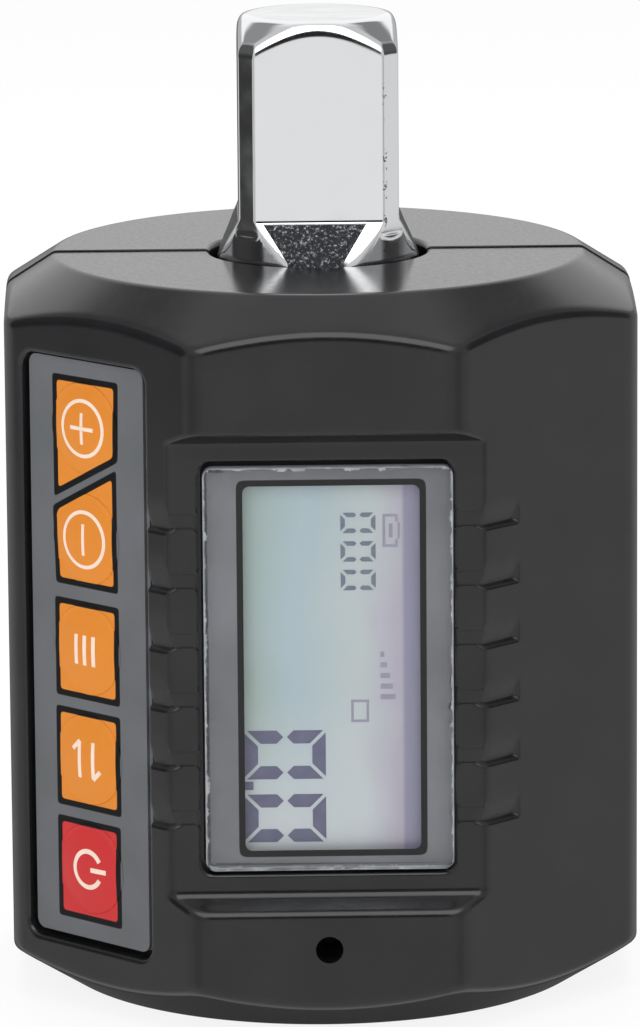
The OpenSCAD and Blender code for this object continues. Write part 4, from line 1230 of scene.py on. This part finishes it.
def legend(name, middle, ribbons, width):
    """Ink on a key's crown: each ribbon follows a line of points from the key's middle, and
    lies on the crown."""
    points, faces = [], []
    for line in ribbons:
        run = np.gradient(line, axis=0)
        across = np.stack([-run[:, 1], run[:, 0]], -1)
        across /= np.linalg.norm(across, axis=1)[:, None]
        first = len(points)
        for side, lift in ((-1, 0.0), (1, 0.0), (1, INK_T), (-1, INK_T)):
            edge = line + across * side * width / 2
            height = PAD_FACE + crown(np.hypot(*edge.T)) + lift
            points.extend(np.column_stack([edge + np.array(middle), height]).tolist())
        n = len(line)
        for k in range(4):
            a, b = first + k * n, first + (k + 1) % 4 * n
            for i in range(n - 1):
                faces.append([a + i, a + i + 1, b + i + 1, b + i])
        faces.append([first + k * n for k in range(4)])
        faces.append([first + k * n + n - 1 for k in reversed(range(4))])
    piece = mesh_piece(name, on_plane(PAD, np.array(points)), faces)
    flip = bmesh.new()
    flip.from_mesh(piece.data)
    bmesh.ops.recalc_face_normals(flip, faces=flip.faces)
    flip.to_mesh(piece.data)
    flip.free()
    crease(piece, 40)
    return piece


def stroke(start, end, steps=9):
    """Points along a straight line."""
    return np.linspace(start, end, steps)


def arc(radius, start, end, steps=48):
    """Points along an arc round the key's middle, from one turn to another."""
    a = np.radians(np.linspace(start, end, steps))
    return np.stack([radius * np.cos(a), radius * np.sin(a)], -1)


# The signs: a ribbon's width and its lines. They read sideways, as the display does.
RING = arc(2.2, 0, 359.9)
LEGENDS = {
    "plus": (
        0.3,
        [
            RING,
            stroke((-1.25, 0), (1.25, 0)),
            stroke((0, 0.18), (0, 1.25)),
            stroke((0, -1.25), (0, -0.18)),
        ],
    ),
    "minus": (0.3, [RING, stroke((0, -1.25), (0, 1.25))]),
    "menu": (0.38, [stroke((x, -1.2), (x, 1.2)) for x in (-0.95, 0.0, 0.95)]),
    "unit": (
        0.36,
        [
            stroke((-0.75, -1.5), (-0.75, 1.45)),
            stroke((-1.5, 0.75), (-0.72, 1.5), 5),
            stroke((0.75, -1.45), (0.75, 1.5)),
            stroke((1.5, -0.75), (0.72, -1.5), 5),
        ],
    ),
    "power": (0.38, [arc(1.45, 30, 330), stroke((0.35, 0), (1.95, 0))]),
}
SLOTS = {"power": "red_polyester"}
for number, (word, (width, ribbons)) in enumerate(LEGENDS.items()):
    middle, body = key_middle(number), word + "_button"
    key = turned(word + "_key_cap", PAD, middle, key_profile())
    keep(key, POLYESTER, body, SLOTS.get(word, "orange_polyester"), word + "_key")
    sign = legend(word + "_sign", middle, ribbons, width)
    keep(sign, PRINT_WHITE, body, "orange_polyester")


# Snap domes and springs


DOME_BACK = PAD_FACE - 0.65
DOME_R = 2.8
DOME_RISE = 0.24
DOME_T = 0.08
DOME_BALL_R = (DOME_R**2 + DOME_RISE**2) / (2 * DOME_RISE)


def dome_profile():
    """A shallow spherical cap's section, from the axis along the hollow side and back."""
    radius = np.linspace(POLE_R, DOME_R, 14)
    hollow = DOME_BACK + DOME_RISE - DOME_BALL_R + np.sqrt(DOME_BALL_R**2 - radius**2)
    back = np.stack([radius, hollow], -1)
    front = np.stack([radius, hollow + DOME_T], -1)
    return np.vstack([back, front[::-1]])


for number, word in enumerate(LEGENDS):
    dome = turned(word + "_snap_dome", PAD, key_middle(number), dome_profile())
    keep(dome, SPRING_STEEL, "housing", "spring_steel", word + "_dome")
    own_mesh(dome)


WIRE_R = 0.2
WIRE_SIDES = 12
RINGS_A_TURN = 28
DETENT_TURNS = 5
DETENT_SPRING_R = 1.4
CONTACT_TURNS = 3
CONTACT_LENGTH = 3.0
CONTACT_RADII = (3.6, 2.5)
# The first turn lies this far inside the solid spring's end
CONTACT_SEAT = 0.18


def wound(name, turns, length, radii, start, axes):
    """A wound spring: round wire along a helix, whose radius goes from one to another. The
    axes are two across the spring and one along it."""
    share = np.linspace(0, 1, RINGS_A_TURN * turns + 1)[:, None]
    a = 2 * np.pi * turns * share
    out = np.cos(a) * axes[0] + np.sin(a) * axes[1]
    middle = start + out * (radii[0] + (radii[1] - radii[0]) * share)
    middle = middle + axes[2] * length * share
    b = -2 * np.pi * np.arange(WIRE_SIDES)[None, :, None] / WIRE_SIDES
    rings = middle[:, None] + WIRE_R * (out[:, None] * np.cos(b) + axes[2] * np.sin(b))
    piece = ring_mesh(name, rings)
    crease(piece, 50)
    return piece


SPRING_LOW, SPRING_HIGH = box_mm("detent_spring")
ACROSS = np.array([1.0, 0.0, 0.0])
BACK = np.array([0.0, 1.0, 0.0])
spring = wound(
    "detent_coil_spring",
    DETENT_TURNS,
    SPRING_HIGH[1] - SPRING_LOW[1] - 2 * WIRE_R,
    (DETENT_SPRING_R, DETENT_SPRING_R),
    np.array([0.0, SPRING_LOW[1] + WIRE_R, (SPRING_LOW[2] + SPRING_HIGH[2]) / 2]),
    (ACROSS, -UP, BACK),
)
keep(spring, SPRING_STEEL, "housing", "spring_steel", "detent_spring")
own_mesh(spring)

CONTACT_LOW, CONTACT_HIGH = box_mm("contact_springs")
CELL_LOW, CELL_HIGH = box_mm("battery_left")
CELL_X = 6.3
CELL_Y = (CELL_LOW[1] + CELL_HIGH[1]) / 2
for name, x, end, sense, nodes in (
    ("lower_contact_spring", -CELL_X, CONTACT_LOW[2], 1, ("contact_springs",)),
    ("upper_contact_spring", CELL_X, CONTACT_HIGH[2], -1, ()),
):
    start = np.array([x, CELL_Y, end + sense * CONTACT_SEAT])
    length = sense * CONTACT_LENGTH
    spring = wound(
        name, CONTACT_TURNS, length, CONTACT_RADII, start, (ACROSS, BACK, UP)
    )
    keep(spring, SPRING_STEEL, "housing", "spring_steel", *nodes)


# CAD nodes that keep their shape get their finishes
FINISHES = (
    (ZINC, "door_screw case_screws board_screws"),
    (BALL_STEEL, "detent_ball"),
    (FOIL, "strain_gauges keypad_tail"),
    (PVC, "gauge_wires battery_leads"),
    (FOAM, "lens_tape"),
    (DISPLAY_GLASS, "lcd_panel"),
    (WHITE_PLASTIC, "lcd_frame tail_connector"),
    (SILICONE, "contact_strips"),
    (LAMINATE, "main_board"),
    (BLACK_LAMINATE, "keypad_board"),
    (EPOXY, "processor_chip amplifier_chip buzzer"),
    (CAN, "board_capacitors battery_left battery_right"),
    (FILM, "keypad_spacer"),
    (POLYESTER, "keypad_overlay"),
    (NICKEL, "contact_plates"),
)
for material, nodes in FINISHES:
    for node in nodes.split():
        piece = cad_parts[node]
        piece.data.materials.clear()
        piece.data.materials.append(material)


# Studio


# What the finishes mirror: the directions of white cards, dark cards and the camera's own
# dark corner, with their inner and outer half angles and their brightness
SURROUNDINGS = 0.65
CARDS = (
    ((0, 0, -1), 68, 84, 0.95),
    ((0, 1, 0), 40, 62, 0.5),
    ((0, 0.85, -0.5), 24, 34, 0.12),
    ((0, 0.7, 0.71), 37, 41, 1.08),
    ((0, 0.1, 1), 14, 26, 0.82),
    ((0, -0.68, 0.73), 26, 34, 3.0),
    ((0, -0.97, -0.22), 9, 14, 0.88),
    ((0, -0.96, 0.27), 13, 17, 0.02),
    ((-0.97, 0, 0.25), 24, 26.5, 0.04),
    ((0.98, 0, -0.15), 8, 14, 0.75),
    ((0.98, 0, 0.24), 11, 16, 0.02),
    ((-0.69, -0.69, -0.1), 4, 17, 0.42),
    ((0.69, -0.69, -0.1), 4, 17, 0.36),
    ((-0.69, -0.69, -0.36), 6, 12, 0.72),
    ((0.69, -0.69, -0.36), 6, 12, 0.72),
    ((-0.9, 0.1, 0.42), 14, 25, 0.1),
    ((0.9, 0.1, 0.42), 14, 25, 0.1),
    ((0.5, 0.45, 0.73), 10, 18, 0.25),
    ((-0.5, 0.45, 0.73), 10, 18, 0.3),
    ((0.83, 0.15, -0.54), 9, 17, 0.7),
    ((-0.83, 0.15, -0.54), 9, 17, 0.7),
)


# What the world gives to everything that isn't a mirror, and shows to the camera
WORLD_LIT, WORLD_SHOWN = 0.5, 1.0
# The floor: half its width, the share of its white that glows, and that glow's strength,
# which together leave the open floor white
FLOOR_HALF = 3000.0
FLOOR_GLOW = 0.85
GLOW_STRENGTH = 1.02
# Each lamp's place, size and power, all aimed at the housing's middle
LAMPS = {
    "front_softbox": ((-60, -620, 420), 700, 1.45),
    "left_softbox": ((-520, -200, 300), 800, 0.9),
    "right_softbox": ((520, -200, 300), 800, 0.9),
    "top_softbox": ((0, 150, 620), 400, 2.0),
}
LAMP_AIM = (0, 0, 35)


def studio():
    """A white floor, soft lamps, and white and dark cards that only reflections show."""
    scene = bpy.context.scene
    scene.view_settings.view_transform = "Standard"
    world = bpy.data.worlds.new("studio")
    world.use_nodes = True
    scene.world = world
    tree = world.node_tree
    way = add(tree, "TexCoord").outputs["Generated"]
    mirrored = add(tree, "Value").outputs[0]
    mirrored.default_value = SURROUNDINGS
    for direction, inner, outer, brightness in CARDS:
        toward = tuple(Vector(direction).normalized())
        dot = add(tree, "VectorMath", [(0, way)], operation="DOT_PRODUCT", i1=toward)
        card = span_of(
            tree,
            dot.outputs["Value"],
            float(np.cos(np.radians(outer))),
            float(np.cos(np.radians(inner))),
        )
        feeds = [("Factor", card), (2, mirrored)]
        mix = add(tree, "Mix", feeds, data_type="FLOAT", i3=brightness)
        mirrored = mix.outputs[0]
    path = add(tree, "LightPath")
    seen = path.outputs["Is Camera Ray"]
    lit = span_of(tree, seen, 0.0, 1.0, WORLD_LIT, WORLD_SHOWN)
    feeds = [("Factor", path.outputs["Is Glossy Ray"]), (2, lit), (3, mirrored)]
    shown = add(tree, "Mix", feeds, data_type="FLOAT").outputs[0]
    background = tree.nodes["Background"]
    background.inputs["Color"].default_value = (1, 1, 1, 1)
    tree.links.new(shown, background.inputs["Strength"])

    # The floor is one face, and is seen through from below
    half = FLOOR_HALF
    corners = [(-half, -half, 0), (half, -half, 0), (half, half, 0), (-half, half, 0)]
    floor = mesh_piece("studio_floor", corners, [[0, 1, 2, 3]])
    white, tree, shader = finish_of("studio_white", "#ffffff", Roughness=0.9)
    glow = add(tree, "Emission", Strength=GLOW_STRENGTH)
    clear = add(tree, "BsdfTransparent")
    # Most of the floor's white is glow, and the rest keeps the object's shadow
    seen = add(tree, "LightPath").outputs["Is Camera Ray"]
    glows = product(tree, seen, FLOOR_GLOW)
    under = add(tree, "NewGeometry").outputs["Backfacing"]
    above = mix_of(tree, glows, shader, glow)
    show(tree, mix_of(tree, under, above, clear))
    floor.data.materials.append(white)
    floor.visible_glossy = False

    for name, (place, size, power) in LAMPS.items():
        data = bpy.data.lights.new(name, "AREA")
        data.size = size * MM
        data.energy = power
        lamp = put(name, data)
        lamp.location = Vector(place) * MM
        aim = Vector(LAMP_AIM) * MM - lamp.location
        lamp.rotation_euler = aim.to_track_quat("-Z", "Y").to_euler()
        lamp.visible_glossy = False


studio()
